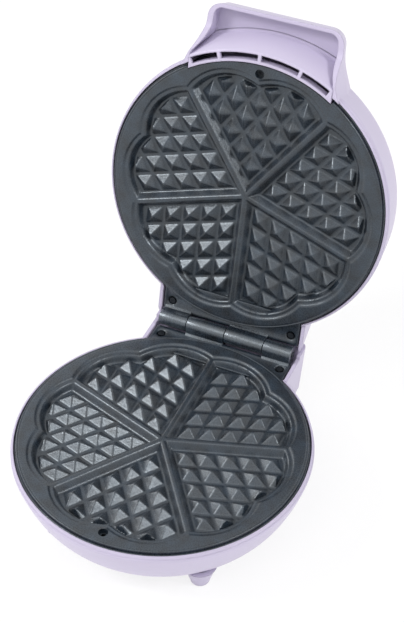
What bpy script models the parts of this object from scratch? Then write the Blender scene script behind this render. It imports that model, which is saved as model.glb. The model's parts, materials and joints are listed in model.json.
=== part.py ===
"""Round heart waffle maker, opened on its hinge, as an assembly of separate pieces.

Each half is modelled face up, in its own frame: the plate's rim lies in the plane z = 0, the handle is
towards -Y, the hinge towards +Y and the shell below. The base stands that way on its feet. The lid is the
same frame turned face down over the base and then opened about the hinge axis. Lengths are in metres.
"""
import math

import bmesh
import bpy
from mathutils import Matrix, Vector

MM = 0.001

# Clearances and overlaps that the whole assembly shares
SEAT_GAP = 0.3 * MM          # between pieces that rest on one another
SIDE_GAP = 0.35 * MM         # round a piece that is dropped into another
SINK = 0.4 * MM              # how far joined shapes run into each other
OVERRUN = 3.0 * MM           # how far a cutter passes the face that it opens
SMOOTH_TURN = math.radians(35)  # faces that turn less than this are shaded as one round surface

# The two halves and the hinge
PLATE_RADIUS = 98.0 * MM
RIM_GAP = 2.0 * MM           # between the closed rims, when both lie level
HINGE_Y = 106.6 * MM
HINGE_Z = RIM_GAP / 2
OPEN_ANGLE = math.radians(104.24)
ROUND_STEPS = 48

# Plate casting: rim, land and skirt
SHOULDER = 3.5 * MM
SHOULDER_STEPS = 2
SKIRT_DEPTH = 11.0 * MM
SKIRT_WALL = 2.8 * MM
WEB = 2.6 * MM

# Plate casting: the five hearts
HEARTS = 5
LEDGE_DEPTH = 1.1 * MM
LEDGE_SLOPE = 0.5 * MM
LEDGE_WIDTH = 3.2 * MM
LOBE_CENTRE = 51.4 * MM
LOBE_RADIUS = 38.8 * MM
LOBE_STEPS = 5
DIVIDER_HALF = 1.4 * MM
WALL_RUN = 4.0 * MM          # how far a divider's side slopes on its way down
LOBE_RUN = 2.4 * MM          # the same for the walls round the lobes
FLOOR_DEPTH = 6.2 * MM

# Plate casting: pyramids
PYRAMID_SIDE = 12.0 * MM
PYRAMID_PITCH = 14.07 * MM
PYRAMID_FIRST = 12.43 * MM
PYRAMID_HEIGHT = 5.2 * MM
PYRAMID_ROWS = 5

# Plate casting: flange, knuckles and fixing points
FLANGE_HALF = 51.0 * MM
FLANGE_DROP = 4.0 * MM
FLANGE_WALL = 4.0 * MM
FLANGE_START = 80.0 * MM
FLANGE_END = 102.4 * MM
KNUCKLE_RADIUS = 5.75 * MM
KNUCKLE_FOOT = 2.4 * MM
KNUCKLE_STEPS = 12
KNUCKLE_ENDS = (-29.0 * MM, 0.0, 29.0 * MM, 50.0 * MM)
KNUCKLE_GAP = 0.4 * MM
PIN_RADIUS = 2.0 * MM
PIN_OVERHANG = 0.8 * MM
PIN_CROWN = 0.5 * MM
FRONT_SCREW_Y = 88.5 * MM
FLANGE_SCREW_X = 45.0 * MM
FLANGE_SCREW_Y = 95.5 * MM
SCREW_RADIUS = 1.6 * MM
SCREW_HEAD_RADIUS = 2.9 * MM
SCREW_HEAD_HEIGHT = 1.8 * MM
SCREW_BITE = 9.0 * MM
FRONT_RECESS = 4.2 * MM      # how deep the front screw's head lies below the land
FLANGE_RECESS = 0.8 * MM     # the same for the flange's screws
SCREW_STEPS = 8
CLAMP_BOSS_RADIUS = 4.0 * MM
CLAMP_RING = 74.0 * MM
CLAMP_COUNT = 3

# Heating element, its reflector and the thermostat
ELEMENT_RADIUS = 3.3 * MM
ELEMENT_RING = 56.0 * MM
ELEMENT_OPEN = math.radians(14.0)
ELEMENT_STEPS = 18
ELEMENT_BEND = 9.0 * MM
ELEMENT_DROP = 23.0 * MM
BEND_STEPS = 2
TERMINAL_RADIUS = 1.3 * MM
TERMINAL_LENGTH = 6.0 * MM
REFLECTOR_RADIUS = 82.0 * MM
REFLECTOR_HOLE = 24.0 * MM
REFLECTOR_LIP = 3.5 * MM
SHEET = 0.8 * MM
CLAMP_BITE = 5.0 * MM
THERMOSTAT_RADIUS = 7.6 * MM
THERMOSTAT_HEIGHT = 8.0 * MM
THERMOSTAT_FLANGE = 1.8 * MM
THERMOSTAT_FLANGE_RADIUS = 9.4 * MM
THERMOSTAT_CAP = 2.2 * MM
BLADE_WIDTH = 4.0 * MM
BLADE_HEIGHT = 6.0 * MM
BLADE_SPACING = 8.0 * MM
BRACKET_HALF = 22.0 * MM
BRACKET_WIDTH = 9.0 * MM
BRACKET_SCREW_X = 17.5 * MM
BRACKET_BOSS_RADIUS = 3.2 * MM
FUSE_RADIUS = 2.2 * MM
FUSE_LENGTH = 16.0 * MM
FUSE_X = 42.0 * MM
CLIP_WIDTH = 6.0 * MM
CLIP_FOOT = 5.0 * MM

# Shells: both bowls share their lip and wall
LIP_DROP = 2.0 * MM
LIP_RADIUS = 99.6 * MM
BELLY_RADIUS = 100.4 * MM
SHELL_WALL = 2.4 * MM
BASE_DEPTH = 41.5 * MM
# share of the depth, share of the belly radius
BASE_SIDE_SHARES = ((0.13, 1.0), (0.35, 0.974), (0.6, 0.934), (0.795, 0.889), (0.95, 0.837), (1.0, 0.78))
LID_DEPTH = 38.5 * MM
LID_SIDE_SHARES = ((0.14, 1.0), (0.779, 0.97), (0.847, 0.959), (0.893, 0.931), (0.917, 0.876), (0.966, 0.6))

# Rear housings
HOUSING_HALF = 54.8 * MM
HOUSING_START = 58.0 * MM
HOUSING_CORNER = 5.0 * MM
HOUSING_WALL = 2.6 * MM
HOUSING_DRAFT = 3.0 * MM
HOUSING_TOP = 3.5 * MM
BASE_HOUSING_END = 123.6 * MM
BASE_REAR_TOP = 1.3 * MM
BASE_REAR_RISE_Y = 108.5 * MM
LID_HOUSING_END = 107.0 * MM
LID_HOUSING_LEAN = 12.0 * MM
LID_HOUSING_TOP = 33.5 * MM
DECK_WALL = 2.5 * MM
CORNER_TURN = math.radians(23.0)
POST_RADIUS = 4.0 * MM
PILOT_RADIUS = SCREW_RADIUS + SEAT_GAP
LID_POST_END = 20.0 * MM

# Feet, vents and cord entry of the base
FOOT_HEIGHT = 56.0 * MM
FOOT_TIP = 4.8 * MM
FOOT_EDGE = 1.7 * MM
FOOT_ROOT = 9.6 * MM
FOOT_TAPER = 7.5 * MM
FOOT_WALL = 2.6 * MM
FOOT_STEPS = 8
FRONT_FOOT = (52.3 * MM, -57.0 * MM)
REAR_FOOT = (40.0 * MM, 102.0 * MM)
VENT_LENGTH = 26.0 * MM
VENT_WIDTH = 3.0 * MM
VENT_PITCH = 9.0 * MM
VENT_COUNT = 5
GLAND_DEPTH = 27.0 * MM
GLAND_BORE = 4.0 * MM
GLAND_NECK = 5.6 * MM
GLAND_FLANGE = 8.0 * MM
GLAND_FLANGE_WALL = 2.0 * MM
GLAND_STEPS = 12
BLOCK_SIZE = (24.0 * MM, 14.0 * MM, 9.0 * MM)
BLOCK_Y = 100.0 * MM
BLOCK_WAYS = 3
BLOCK_BORE = 1.7 * MM

# Handle hood on the lid, and the vented cover under it
HOOD_RIM = 20.0 * MM         # how far the hood's lower edge lies behind the rim plane
HOOD_ROOF = 28.6 * MM
HOOD_TOP = 33.4 * MM
HOOD_FRONT = 122.0 * MM
HOOD_HALF = 47.0 * MM
HOOD_WALL = 4.0 * MM
HOOD_FRONT_WALL = 2.8 * MM
HOOD_CORNER = 10.0 * MM
HOOD_ROUNDING = 4.5 * MM
# half-width share, y share of the hood's reach, from its root on the dome out to its corner
HOOD_SIDE_SHARES = ((1.24, 0.62), (1.18, 0.66), (1.09, 0.75), (1.03, 0.815))
HOOD_SIDE_BEND = 20.0 * MM   # radius that rounds the bend between two of those points
HOOD_SLOPE_START = 91.0 * MM
HOOD_SLOPE_END = 104.0 * MM
COVER_LIP_RADIUS = 94.6 * MM  # the upper plate's rim and skirt are cut away here for the strip
COVER_FOOT = 6.0 * MM
COVER_CHAMFER = 0.6 * MM
COVER_RADIUS = 110.4 * MM
COVER_FLARE = 3.0 * MM       # how much wider the wall is at the roof than at its step
COVER_STEP_DEPTH = 18.0 * MM
COVER_WALL = 2.2 * MM
COVER_LIP = 2.0 * MM
COVER_HALF = 49.6 * MM
VENT_SLOT_WIDTH = 4.4 * MM
VENT_BORDER = 1.4 * MM
VENT_RIB = 2.2 * MM
SLOT_STEPS = 4
COVER_STEPS = ROUND_STEPS * 3 // 2
VENT_RIBS = (-26.3 * MM, 1.5 * MM, 28.8 * MM)
VENT_ENDS = (-45.4 * MM, 45.4 * MM)
COVER_EAR = (9.0 * MM, 9.0 * MM, 2.4 * MM)
COVER_EAR_X = 26.0 * MM
COVER_EAR_Y = 99.5 * MM
COVER_SCREW_BITE = 3.0 * MM

# Signal lamps on the lid
LAMP_X = 9.0 * MM
LAMP_Y = 68.0 * MM
LENS_HEAD = 5.2 * MM
LENS_CROWN = 1.8 * MM
LENS_NECK = 3.9 * MM
LENS_LENGTH = 5.0 * MM
LENS_WALL = 1.1 * MM
LENS_STEPS = 10
LAMP_RADIUS = 2.4 * MM
LAMP_LENGTH = 12.0 * MM
HOLDER_SIZE = (30.0 * MM, 10.0 * MM, 5.0 * MM)
HOLDER_DEPTH = 28.0 * MM
HOLDER_SCREW_BITE = 4.0 * MM

# Leads
LEAD_RADIUS = 1.0 * MM
LEAD_STEPS = 2               # points between two places that a lead is led through
CRIMP_GAP = 0.6 * MM


def remove_all_objects():
    for obj in list(bpy.data.objects):
        bpy.data.objects.remove(obj, do_unlink=True)


def new_collection(name):
    group = bpy.data.collections.new(name)
    bpy.context.scene.collection.children.link(group)
    return group


remove_all_objects()
PIECES = new_collection("heart_waffle_maker")
CUTTERS = new_collection("cutters")


def new_material(name, colour, roughness, metallic):
    material = bpy.data.materials.new(name)
    material.use_nodes = True
    shader = material.node_tree.nodes["Principled BSDF"]
    shader.inputs["Base Color"].default_value = (*colour, 1.0)
    shader.inputs["Roughness"].default_value = roughness
    shader.inputs["Metallic"].default_value = metallic
    material.diffuse_color = (*colour, 1.0)
    return material


LAVENDER_PLASTIC = new_material("lavender_plastic", (0.60, 0.54, 0.70), 0.35, 0.0)
NONSTICK_ALUMINIUM = new_material("nonstick_aluminium", (0.06, 0.075, 0.09), 0.42, 0.4)
STEEL = new_material("zinc_plated_steel", (0.55, 0.56, 0.58), 0.35, 1.0)
ELEMENT_STEEL = new_material("element_sheath", (0.22, 0.2, 0.19), 0.5, 1.0)
ALUMINISED_SHEET = new_material("aluminised_sheet", (0.6, 0.61, 0.62), 0.4, 1.0)
CERAMIC = new_material("white_ceramic", (0.8, 0.78, 0.74), 0.5, 0.0)
BLACK_RUBBER = new_material("dark_grommet", (0.03, 0.03, 0.035), 0.6, 0.0)
SLEEVING = new_material("lead_sleeving", (0.75, 0.72, 0.66), 0.8, 0.0)
RED_LENS = new_material("red_lens", (0.6, 0.03, 0.03), 0.15, 0.0)
GREEN_LENS = new_material("green_lens", (0.05, 0.45, 0.1), 0.15, 0.0)
LAMP_GLASS = new_material("lamp_glass", (0.8, 0.7, 0.6), 0.1, 0.0)


def new_empty(name, parent, location, turn):
    empty = bpy.data.objects.new(name, None)
    PIECES.objects.link(empty)
    empty.parent = parent
    empty.location = location
    empty.rotation_euler = turn
    return empty


# Frames: the stand, the hinge pivot and the lid's own face-up frame
BASE_FRAME = new_empty("base_frame", None, (0.0, 0.0, FOOT_HEIGHT), (0.0, 0.0, 0.0))
LID_PIVOT = new_empty("lid_pivot", BASE_FRAME, (0.0, HINGE_Y, HINGE_Z), (-OPEN_ANGLE, 0.0, 0.0))
LID_FRAME = new_empty("lid_frame", LID_PIVOT, (0.0, -HINGE_Y, RIM_GAP - HINGE_Z), (0.0, math.pi, 0.0))


def mesh_from(name, shape):
    bmesh.ops.recalc_face_normals(shape, faces=shape.faces)
    mesh = bpy.data.meshes.new(name)
    shape.to_mesh(mesh)
    shape.free()
    return mesh


def place(name, mesh, group=CUTTERS):
    obj = bpy.data.objects.new(name, mesh)
    group.objects.link(obj)
    return obj


def turned(name, profile, steps, closed=False):
    """A solid of revolution about Z. The profile (radius, height) runs down its outer side."""
    mesh = bpy.data.meshes.new(name)
    edges = [(i, i + 1) for i in range(len(profile) - 1)]
    if closed:
        edges.append((len(profile) - 1, 0))
    mesh.from_pydata([(radius, 0.0, height) for radius, height in profile], edges, [])
    obj = place(name, mesh)
    screw = obj.modifiers.new("turn", 'SCREW')
    screw.steps = steps
    screw.render_steps = steps
    screw.use_merge_vertices = True
    screw.merge_threshold = 0.00001
    return obj


def cylinder(name, radius, top, bottom, centre=(0.0, 0.0), steps=SCREW_STEPS):
    shape = bmesh.new()
    # turned by half a side, so that no corner lies on a line out from the axis
    middle = Matrix.Translation((centre[0], centre[1], (top + bottom) / 2)) @ Matrix.Rotation(math.pi / steps, 4, 'Z')
    bmesh.ops.create_cone(shape, cap_ends=True, segments=steps, radius1=radius, radius2=radius,
                          depth=top - bottom, matrix=middle)
    return place(name, mesh_from(name, shape))


def cross_bar(name, radius, start, end, y, z, steps=KNUCKLE_STEPS):
    """A round bar along X."""
    shape = bmesh.new()
    middle = Matrix.Translation(((start + end) / 2, y, z)) @ Matrix.Rotation(math.pi / 2, 4, 'Y')
    bmesh.ops.create_cone(shape, cap_ends=True, segments=steps, radius1=radius, radius2=radius,
                          depth=end - start, matrix=middle)
    return place(name, mesh_from(name, shape))


def box(name, low, high):
    shape = bmesh.new()
    size = Vector(high) - Vector(low)
    middle = (Vector(high) + Vector(low)) / 2
    bmesh.ops.create_cube(shape, size=1.0, matrix=Matrix.Translation(middle) @ Matrix.Diagonal((*size, 1.0)))
    return place(name, mesh_from(name, shape))


def loft(name, levels):
    """A closed solid through outlines of as many points each, given as (outline, height)."""
    shape = bmesh.new()
    rings = [[shape.verts.new((x, y, height)) for x, y in outline] for outline, height in levels]
    for lower, upper in zip(rings, rings[1:]):
        for i in range(len(lower)):
            shape.faces.new((lower[i - 1], lower[i], upper[i], upper[i - 1]))
    shape.faces.new(rings[0])
    shape.faces.new(rings[-1])
    return place(name, mesh_from(name, shape))


def rounded(corners):
    """A closed outline through the corners ((x, y), radius), each rounded by its own radius."""
    outline = []
    for i, (corner, radius) in enumerate(corners):
        corner = Vector(corner)
        if radius == 0.0:
            outline.append(corner)
            continue
        back = (Vector(corners[i - 1][0]) - corner).normalized()
        ahead = (Vector(corners[(i + 1) % len(corners)][0]) - corner).normalized()
        half = back.angle(ahead) / 2
        centre = corner + (back + ahead).normalized() * (radius / math.sin(half))
        start = corner + back * (radius / math.tan(half)) - centre
        sweep = start.angle_signed(corner + ahead * (radius / math.tan(half)) - centre)
        steps = math.ceil(abs(sweep) / CORNER_TURN)
        for k in range(steps + 1):
            outline.append(centre + Matrix.Rotation(-sweep * k / steps, 2) @ start)
    return outline


# Lays an outline drawn as (y, z) along the X axis
ALONG_X = Matrix(((0.0, 0.0, 1.0, 0.0), (1.0, 0.0, 0.0, 0.0), (0.0, 1.0, 0.0, 0.0), (0.0, 0.0, 0.0, 1.0)))


def boolean(target, tool, operation):
    """Shape a piece with another, which is kept among the cutters and moves with the piece."""
    if tool.parent is None:
        tool.parent = target
    tool.hide_render = True
    tool.display_type = 'WIRE'
    modifier = target.modifiers.new(tool.name, 'BOOLEAN')
    modifier.operation = operation
    modifier.object = tool
    return target


def cut(target, *tools):
    for tool in tools:
        boolean(target, tool, 'DIFFERENCE')
    return target


def join(target, *tools):
    for tool in tools:
        boolean(target, tool, 'UNION')
    return target


def baked(obj):
    """The mesh that an object's modifiers make, for copies that share it."""
    bpy.context.view_layer.update()
    evaluated = obj.evaluated_get(bpy.context.evaluated_depsgraph_get())
    return bpy.data.meshes.new_from_object(evaluated)


def piece(name, obj, material, frame):
    """Name a finished solid, give it its material and hang it in its frame."""
    CUTTERS.objects.unlink(obj)
    PIECES.objects.link(obj)
    obj.name = name
    obj.data.name = name
    obj.data.materials.clear()
    obj.data.materials.append(material)
    obj.parent = frame
    return obj


def polar(radius, angle):
    return (radius * math.cos(angle), radius * math.sin(angle))


# Plate casting

HEART_HALF_ANGLE = math.pi / HEARTS


def heart_axis(index):
    """The direction of a heart's line of symmetry: the first points at the handle."""
    return -math.pi / 2 + index * 2 * HEART_HALF_ANGLE


def lobe_arc(radius, side_offset):
    """One lobe of a heart about the X axis, from the divider at its side to the notch on its axis."""
    centre = Vector(polar(LOBE_CENTRE, HEART_HALF_ANGLE / 2))
    along = Vector(polar(1.0, HEART_HALF_ANGLE))
    inward = Vector((along.y, -along.x))
    from_side = centre - inward * side_offset
    reach = along.dot(from_side) + math.sqrt(radius ** 2 - inward.dot(from_side) ** 2)
    start = along * reach + inward * side_offset - centre
    notch = Vector((math.sqrt(radius ** 2 - centre.y ** 2), -centre.y))
    first = math.atan2(start.y, start.x)
    last = math.atan2(notch.y, notch.x)
    angles = [first + (last - first) * k / LOBE_STEPS for k in range(LOBE_STEPS + 1)]
    return [centre + Vector(polar(radius, angle)) for angle in angles]


def heart_outline(radius, side_offset, index):
    """A heart between two dividers, with its point near the plate's centre."""
    lobe = lobe_arc(radius, side_offset)
    other = [Vector((point.x, -point.y)) for point in reversed(lobe[:-1])]
    tip = Vector((side_offset / math.sin(HEART_HALF_ANGLE), 0.0))
    turn = Matrix.Rotation(heart_axis(index), 2)
    return [turn @ point for point in [tip] + lobe + other]


def flower_outline(radius):
    """The ten lobes of all the hearts together."""
    lobe = lobe_arc(radius, 0.0)
    other = [Vector((point.x, -point.y)) for point in reversed(lobe[1:-1])]
    outline = []
    for index in range(HEARTS):
        turn = Matrix.Rotation(heart_axis(index), 2)
        # the lobes are drawn from the far divider to the near one, so the hearts run the same way round
        outline = [turn @ point for point in lobe + other] + outline
    return outline


def heart_pyramids(shape, index):
    """Rows of pyramids along both dividers of a heart, and the ones that its lobes cut off."""
    axis = heart_axis(index)
    first = Vector(polar(1.0, axis + HEART_HALF_ANGLE))
    second = Vector(polar(1.0, axis - HEART_HALF_ANGLE))
    half = PYRAMID_SIDE / 2
    foot = SINK * half / PYRAMID_HEIGHT + half
    # a diamond of radius one becomes the rhombus whose sides follow the two dividers
    lay = Matrix(((first.x + second.x, second.x - first.x, 0.0, 0.0),
                  (first.y + second.y, second.y - first.y, 0.0, 0.0),
                  (0.0, 0.0, 1.0, 0.0), (0.0, 0.0, 0.0, 1.0)))
    for i in range(PYRAMID_ROWS + 1):
        for j in range(PYRAMID_ROWS + 1):
            if i + j > PYRAMID_ROWS or PYRAMID_ROWS in (i, j):
                continue
            spot = first * (PYRAMID_FIRST + i * PYRAMID_PITCH) + second * (PYRAMID_FIRST + j * PYRAMID_PITCH)
            middle = -FLOOR_DEPTH + (PYRAMID_HEIGHT - SINK) / 2
            bmesh.ops.create_cone(shape, cap_ends=True, segments=4, radius1=foot, radius2=0.0,
                                  depth=PYRAMID_HEIGHT + SINK,
                                  matrix=Matrix.Translation((spot.x, spot.y, middle)) @ lay)


def knuckle_outline():
    """A knuckle from its end, as (y, z): an eye round the pin on a foot that stands on the flange."""
    first = -math.acos(KNUCKLE_FOOT / KNUCKLE_RADIUS)
    turns = [first + (math.pi - first) * k / KNUCKLE_STEPS for k in range(KNUCKLE_STEPS + 1)]
    eye = [(HINGE_Y + KNUCKLE_RADIUS * math.cos(turn), HINGE_Z + KNUCKLE_RADIUS * math.sin(turn)) for turn in turns]
    front = HINGE_Y - KNUCKLE_RADIUS
    foot_bottom = -FLANGE_DROP - FLANGE_WALL + SINK
    return eye + [(front, foot_bottom), (HINGE_Y + KNUCKLE_FOOT, foot_bottom)]


def clamp_spots():
    """Where the reflector's bosses stand: one in front and two towards the hinge."""
    return [polar(CLAMP_RING, -math.pi / 2 + 2 * math.pi * number / CLAMP_COUNT) for number in range(CLAMP_COUNT)]


def plate_casting():
    """One plate of die-cast aluminium. The lid holds the same casting face down."""
    back = -(FLOOR_DEPTH + WEB)
    shoulder_centre = PLATE_RADIUS - SHOULDER
    shoulder = [(shoulder_centre + SHOULDER * math.sin(angle), SHOULDER * (math.cos(angle) - 1))
                for angle in (math.pi / 2 * k / SHOULDER_STEPS for k in range(SHOULDER_STEPS + 1))]
    skirt = PLATE_RADIUS - SKIRT_WALL
    profile = [(0.0, 0.0)] + shoulder + [(PLATE_RADIUS, -SKIRT_DEPTH), (skirt, -SKIRT_DEPTH), (skirt, back), (0.0, back)]
    plate = turned("plate_disc", profile, ROUND_STEPS)

    join(plate, box("flange", (-FLANGE_HALF, FLANGE_START, -FLANGE_DROP - FLANGE_WALL),
                    (FLANGE_HALF, FLANGE_END, -FLANGE_DROP)))
    for number in (0, 2):
        start, end = KNUCKLE_ENDS[number] + KNUCKLE_GAP / 2, KNUCKLE_ENDS[number + 1] - KNUCKLE_GAP / 2
        knuckle = loft(f"knuckle_{number}", [(knuckle_outline(), start), (knuckle_outline(), end)])
        knuckle.matrix_local = ALONG_X
        join(plate, knuckle)

    # bosses on the back: one at the front screw, three for the reflector and two for the thermostat
    join(plate, cylinder("front_boss", POST_RADIUS, back + SINK, -SKIRT_DEPTH, (0.0, -FRONT_SCREW_Y)))
    for number, spot in enumerate(clamp_spots()):
        boss = cylinder(f"clamp_boss_{number}", CLAMP_BOSS_RADIUS, back + SINK, clamp_plane(), spot)
        join(plate, boss)
    for side in (-1, 1):
        spot = (side * BRACKET_SCREW_X, 0.0)
        boss = cylinder(f"bracket_boss_{side}", BRACKET_BOSS_RADIUS, back + SINK, bracket_plane(), spot)
        join(plate, boss)

    flower = loft("flower_recess", [(flower_outline(LOBE_RADIUS - LEDGE_SLOPE), -LEDGE_DEPTH),
                                    (flower_outline(LOBE_RADIUS), 0.0),
                                    (flower_outline(LOBE_RADIUS), OVERRUN)])
    cut(plate, flower)

    # the hearts sink through the ledge, so their walls start a little above it on the same slope
    steep = (FLOOR_DEPTH - LEDGE_DEPTH) / (FLOOR_DEPTH - LEDGE_DEPTH + SINK)
    side_top = DIVIDER_HALF - WALL_RUN * (1 - steep)
    lobe_top = LOBE_RADIUS - LEDGE_WIDTH - LEDGE_SLOPE
    hearts = bmesh.new()
    for index in range(HEARTS):
        solid = loft("heart", [
            (heart_outline(lobe_top - LOBE_RUN, DIVIDER_HALF + WALL_RUN, index), -FLOOR_DEPTH),
            (heart_outline(lobe_top + LOBE_RUN * (1 - steep), side_top, index), SINK - LEDGE_DEPTH)])
        hearts.from_mesh(solid.data)
        bpy.data.objects.remove(solid, do_unlink=True)
    cut(plate, place("heart_cavities", mesh_from("heart_cavities", hearts)))

    pyramids = bmesh.new()
    for index in range(HEARTS):
        heart_pyramids(pyramids, index)
    join(plate, place("pyramids", mesh_from("pyramids", pyramids)))

    # screw holes, each with a recess for the head, blind holes in the bosses and the bore for the pin
    for number, (x, y, head, bottom) in enumerate(plate_screws()):
        seat = head - SCREW_HEAD_HEIGHT - SEAT_GAP
        cut(plate, cylinder(f"screw_hole_{number}", PILOT_RADIUS, OVERRUN, bottom - OVERRUN, (x, y)),
            cylinder(f"screw_recess_{number}", SCREW_HEAD_RADIUS + SEAT_GAP, OVERRUN, seat, (x, y)))
    for number, spot in enumerate(clamp_spots()):
        cut(plate, cylinder(f"clamp_hole_{number}", PILOT_RADIUS, clamp_plane() + CLAMP_BITE + SEAT_GAP,
                            clamp_plane() - OVERRUN, spot))
    for side in (-1, 1):
        cut(plate, cylinder(f"bracket_hole_{side}", PILOT_RADIUS, back + SEAT_GAP,
                            bracket_plane() - OVERRUN, (side * BRACKET_SCREW_X, 0.0)))
    cut(plate, cross_bar("pin_bore", PIN_RADIUS + SEAT_GAP, -FLANGE_HALF - OVERRUN, FLANGE_HALF + OVERRUN,
                         HINGE_Y, HINGE_Z, SCREW_STEPS))
    return plate


def plate_back():
    return -(FLOOR_DEPTH + WEB)


def clamp_plane():
    """The ends of the reflector's bosses, level with the far side of the element."""
    return plate_back() - SEAT_GAP - 2 * ELEMENT_RADIUS


def reflector_top():
    return clamp_plane() - SEAT_GAP


def bracket_plane():
    """The ends of the thermostat's bosses, level with the far side of its flange."""
    return plate_back() - SEAT_GAP - THERMOSTAT_FLANGE


def plate_screws():
    """The three screws of a plate: x, y, the head's top and the far face."""
    front = (0.0, -FRONT_SCREW_Y, -FRONT_RECESS, -SKIRT_DEPTH)
    flange = -FLANGE_DROP
    rear = [(side * FLANGE_SCREW_X, FLANGE_SCREW_Y, flange - FLANGE_RECESS, flange - FLANGE_WALL) for side in (-1, 1)]
    return [front] + rear


def fit_screw(name, frame, head_top, length, spot, point_up=False):
    """A pan-head screw. It points down, or up where it is driven from below."""
    way = -1 if point_up else 1
    under = head_top - way * SCREW_HEAD_HEIGHT
    end = under - way * length
    profile = [(0.0, head_top), (SCREW_HEAD_RADIUS * 4 / 5, head_top), (SCREW_HEAD_RADIUS, under),
               (SCREW_RADIUS, under), (SCREW_RADIUS, end), (0.0, end)]
    if point_up:
        profile.reverse()
    solid = turned(name, profile, SCREW_STEPS)
    solid.location = (*spot, 0.0)
    piece(name, solid, STEEL, frame)


def vent_cut():
    """What the upper plate loses of its rim and skirt, where the vent strip lies."""
    edge = COVER_LIP_RADIUS - SIDE_GAP
    outer = PLATE_RADIUS + OVERRUN
    ring = turned("vent_cut", [(edge, OVERRUN), (outer, OVERRUN), (outer, -SKIRT_DEPTH - OVERRUN),
                               (edge, -SKIRT_DEPTH - OVERRUN)], ROUND_STEPS, closed=True)
    half = COVER_HALF + SIDE_GAP
    return boolean(ring, box("vent_cut_limits", (-half, -2 * outer, -2 * SKIRT_DEPTH), (half, 0.0, SKIRT_DEPTH)),
                   'INTERSECT')


def fixed_plate(prefix, casting, frame):
    """A plate in its half, with its screws."""
    plate = place(f"{prefix}_plate", casting)
    if frame == LID_FRAME:
        cut(plate, vent_cut())
    piece(f"{prefix}_plate", plate, NONSTICK_ALUMINIUM, frame)
    for place_name, (x, y, head, bottom) in zip(("front", "left", "right"), plate_screws()):
        fit_screw(f"{prefix}_plate_screw_{place_name}", frame, head, head - SCREW_HEAD_HEIGHT - bottom + SCREW_BITE,
                  (x, y))


# Heating

def tube(name, points, radius, resolution):
    """A round tube through the points, with closed ends."""
    curve = bpy.data.curves.new(name, 'CURVE')
    curve.dimensions = '3D'
    curve.bevel_depth = radius
    curve.bevel_resolution = resolution
    curve.use_fill_caps = True
    spline = curve.splines.new('POLY')
    spline.points.add(len(points) - 1)
    for knot, point in zip(spline.points, points):
        knot.co = (*point, 1.0)
    obj = place(name, curve)
    mesh = baked(obj)
    bpy.data.objects.remove(obj, do_unlink=True)
    shape = bmesh.new()
    shape.from_mesh(mesh)
    bmesh.ops.remove_doubles(shape, verts=shape.verts, dist=0.00001)
    return place(name, mesh_from(name, shape))


def element_end(side):
    """The foot of one end of the element, where its terminal pin stands."""
    x, y = polar(ELEMENT_RING, math.pi / 2 - side * ELEMENT_OPEN)
    return (x + side * -ELEMENT_BEND, y, -ELEMENT_DROP)


def element_path():
    """Round the plate's back, open towards the hinge, with both ends bent down side by side."""
    depth = plate_back() - SEAT_GAP - ELEMENT_RADIUS
    start = math.pi / 2 + ELEMENT_OPEN
    sweep = 2 * math.pi - 2 * ELEMENT_OPEN
    ring = [(*polar(ELEMENT_RING, start + sweep * k / ELEMENT_STEPS), depth) for k in range(ELEMENT_STEPS + 1)]
    bend = []
    for k in range(1, BEND_STEPS + 1):
        angle = math.pi / 2 * k / BEND_STEPS
        bend.append((-ELEMENT_BEND * math.sin(angle), depth - ELEMENT_BEND * (1 - math.cos(angle))))
    right = [(ring[-1][0] + across, ring[-1][1], height) for across, height in bend]
    left = [(ring[0][0] - across, ring[0][1], height) for across, height in reversed(bend)]
    return [element_end(-1)] + left + ring + right + [element_end(1)]


def heater(prefix, frame):
    """Tubular element under the plate, and the sheet-steel reflector that clamps it there."""
    sheath = tube(f"{prefix}_sheath", element_path(), ELEMENT_RADIUS, 1)
    for side in (-1, 1):
        x, y, end = element_end(side)
        join(sheath, cylinder(f"{prefix}_terminal_{side}", TERMINAL_RADIUS, end + OVERRUN,
                              end - TERMINAL_LENGTH, (x, y)))
    piece(f"{prefix}_element", sheath, ELEMENT_STEEL, frame)

    top = reflector_top()
    rim = REFLECTOR_RADIUS - SHEET
    profile = [(REFLECTOR_HOLE, top - SHEET), (REFLECTOR_RADIUS, top - SHEET), (REFLECTOR_RADIUS, top + REFLECTOR_LIP),
               (rim, top + REFLECTOR_LIP), (rim, top), (REFLECTOR_HOLE, top)]
    reflector = turned(f"{prefix}_reflector", profile, ROUND_STEPS // 2, closed=True)
    for place_name, spot in zip(("front", "right", "left"), clamp_spots()):
        cut(reflector, cylinder(f"{prefix}_reflector_hole_{place_name}", PILOT_RADIUS, top + OVERRUN,
                                top - SHEET - OVERRUN, spot))
        head = top - SHEET - SEAT_GAP - SCREW_HEAD_HEIGHT
        fit_screw(f"{prefix}_reflector_screw_{place_name}", frame, head, SHEET + SEAT_GAP + CLAMP_BITE, spot, True)
    reach, y = polar(ELEMENT_RING, math.pi / 2 - ELEMENT_OPEN)
    width = ELEMENT_RADIUS + 2 * SIDE_GAP
    cut(reflector, box(f"{prefix}_element_slot", (-reach - SIDE_GAP, y - width, top - SHEET - OVERRUN),
                       (reach + SIDE_GAP, y + width, top + OVERRUN)))
    piece(f"{prefix}_reflector", reflector, ALUMINISED_SHEET, frame)


def thermostat_bottom():
    return plate_back() - SEAT_GAP - THERMOSTAT_HEIGHT - THERMOSTAT_CAP


def thermostat_blade_end(side):
    return (0.0, side * BLADE_SPACING / 2, thermostat_bottom() - BLADE_HEIGHT)


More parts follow.
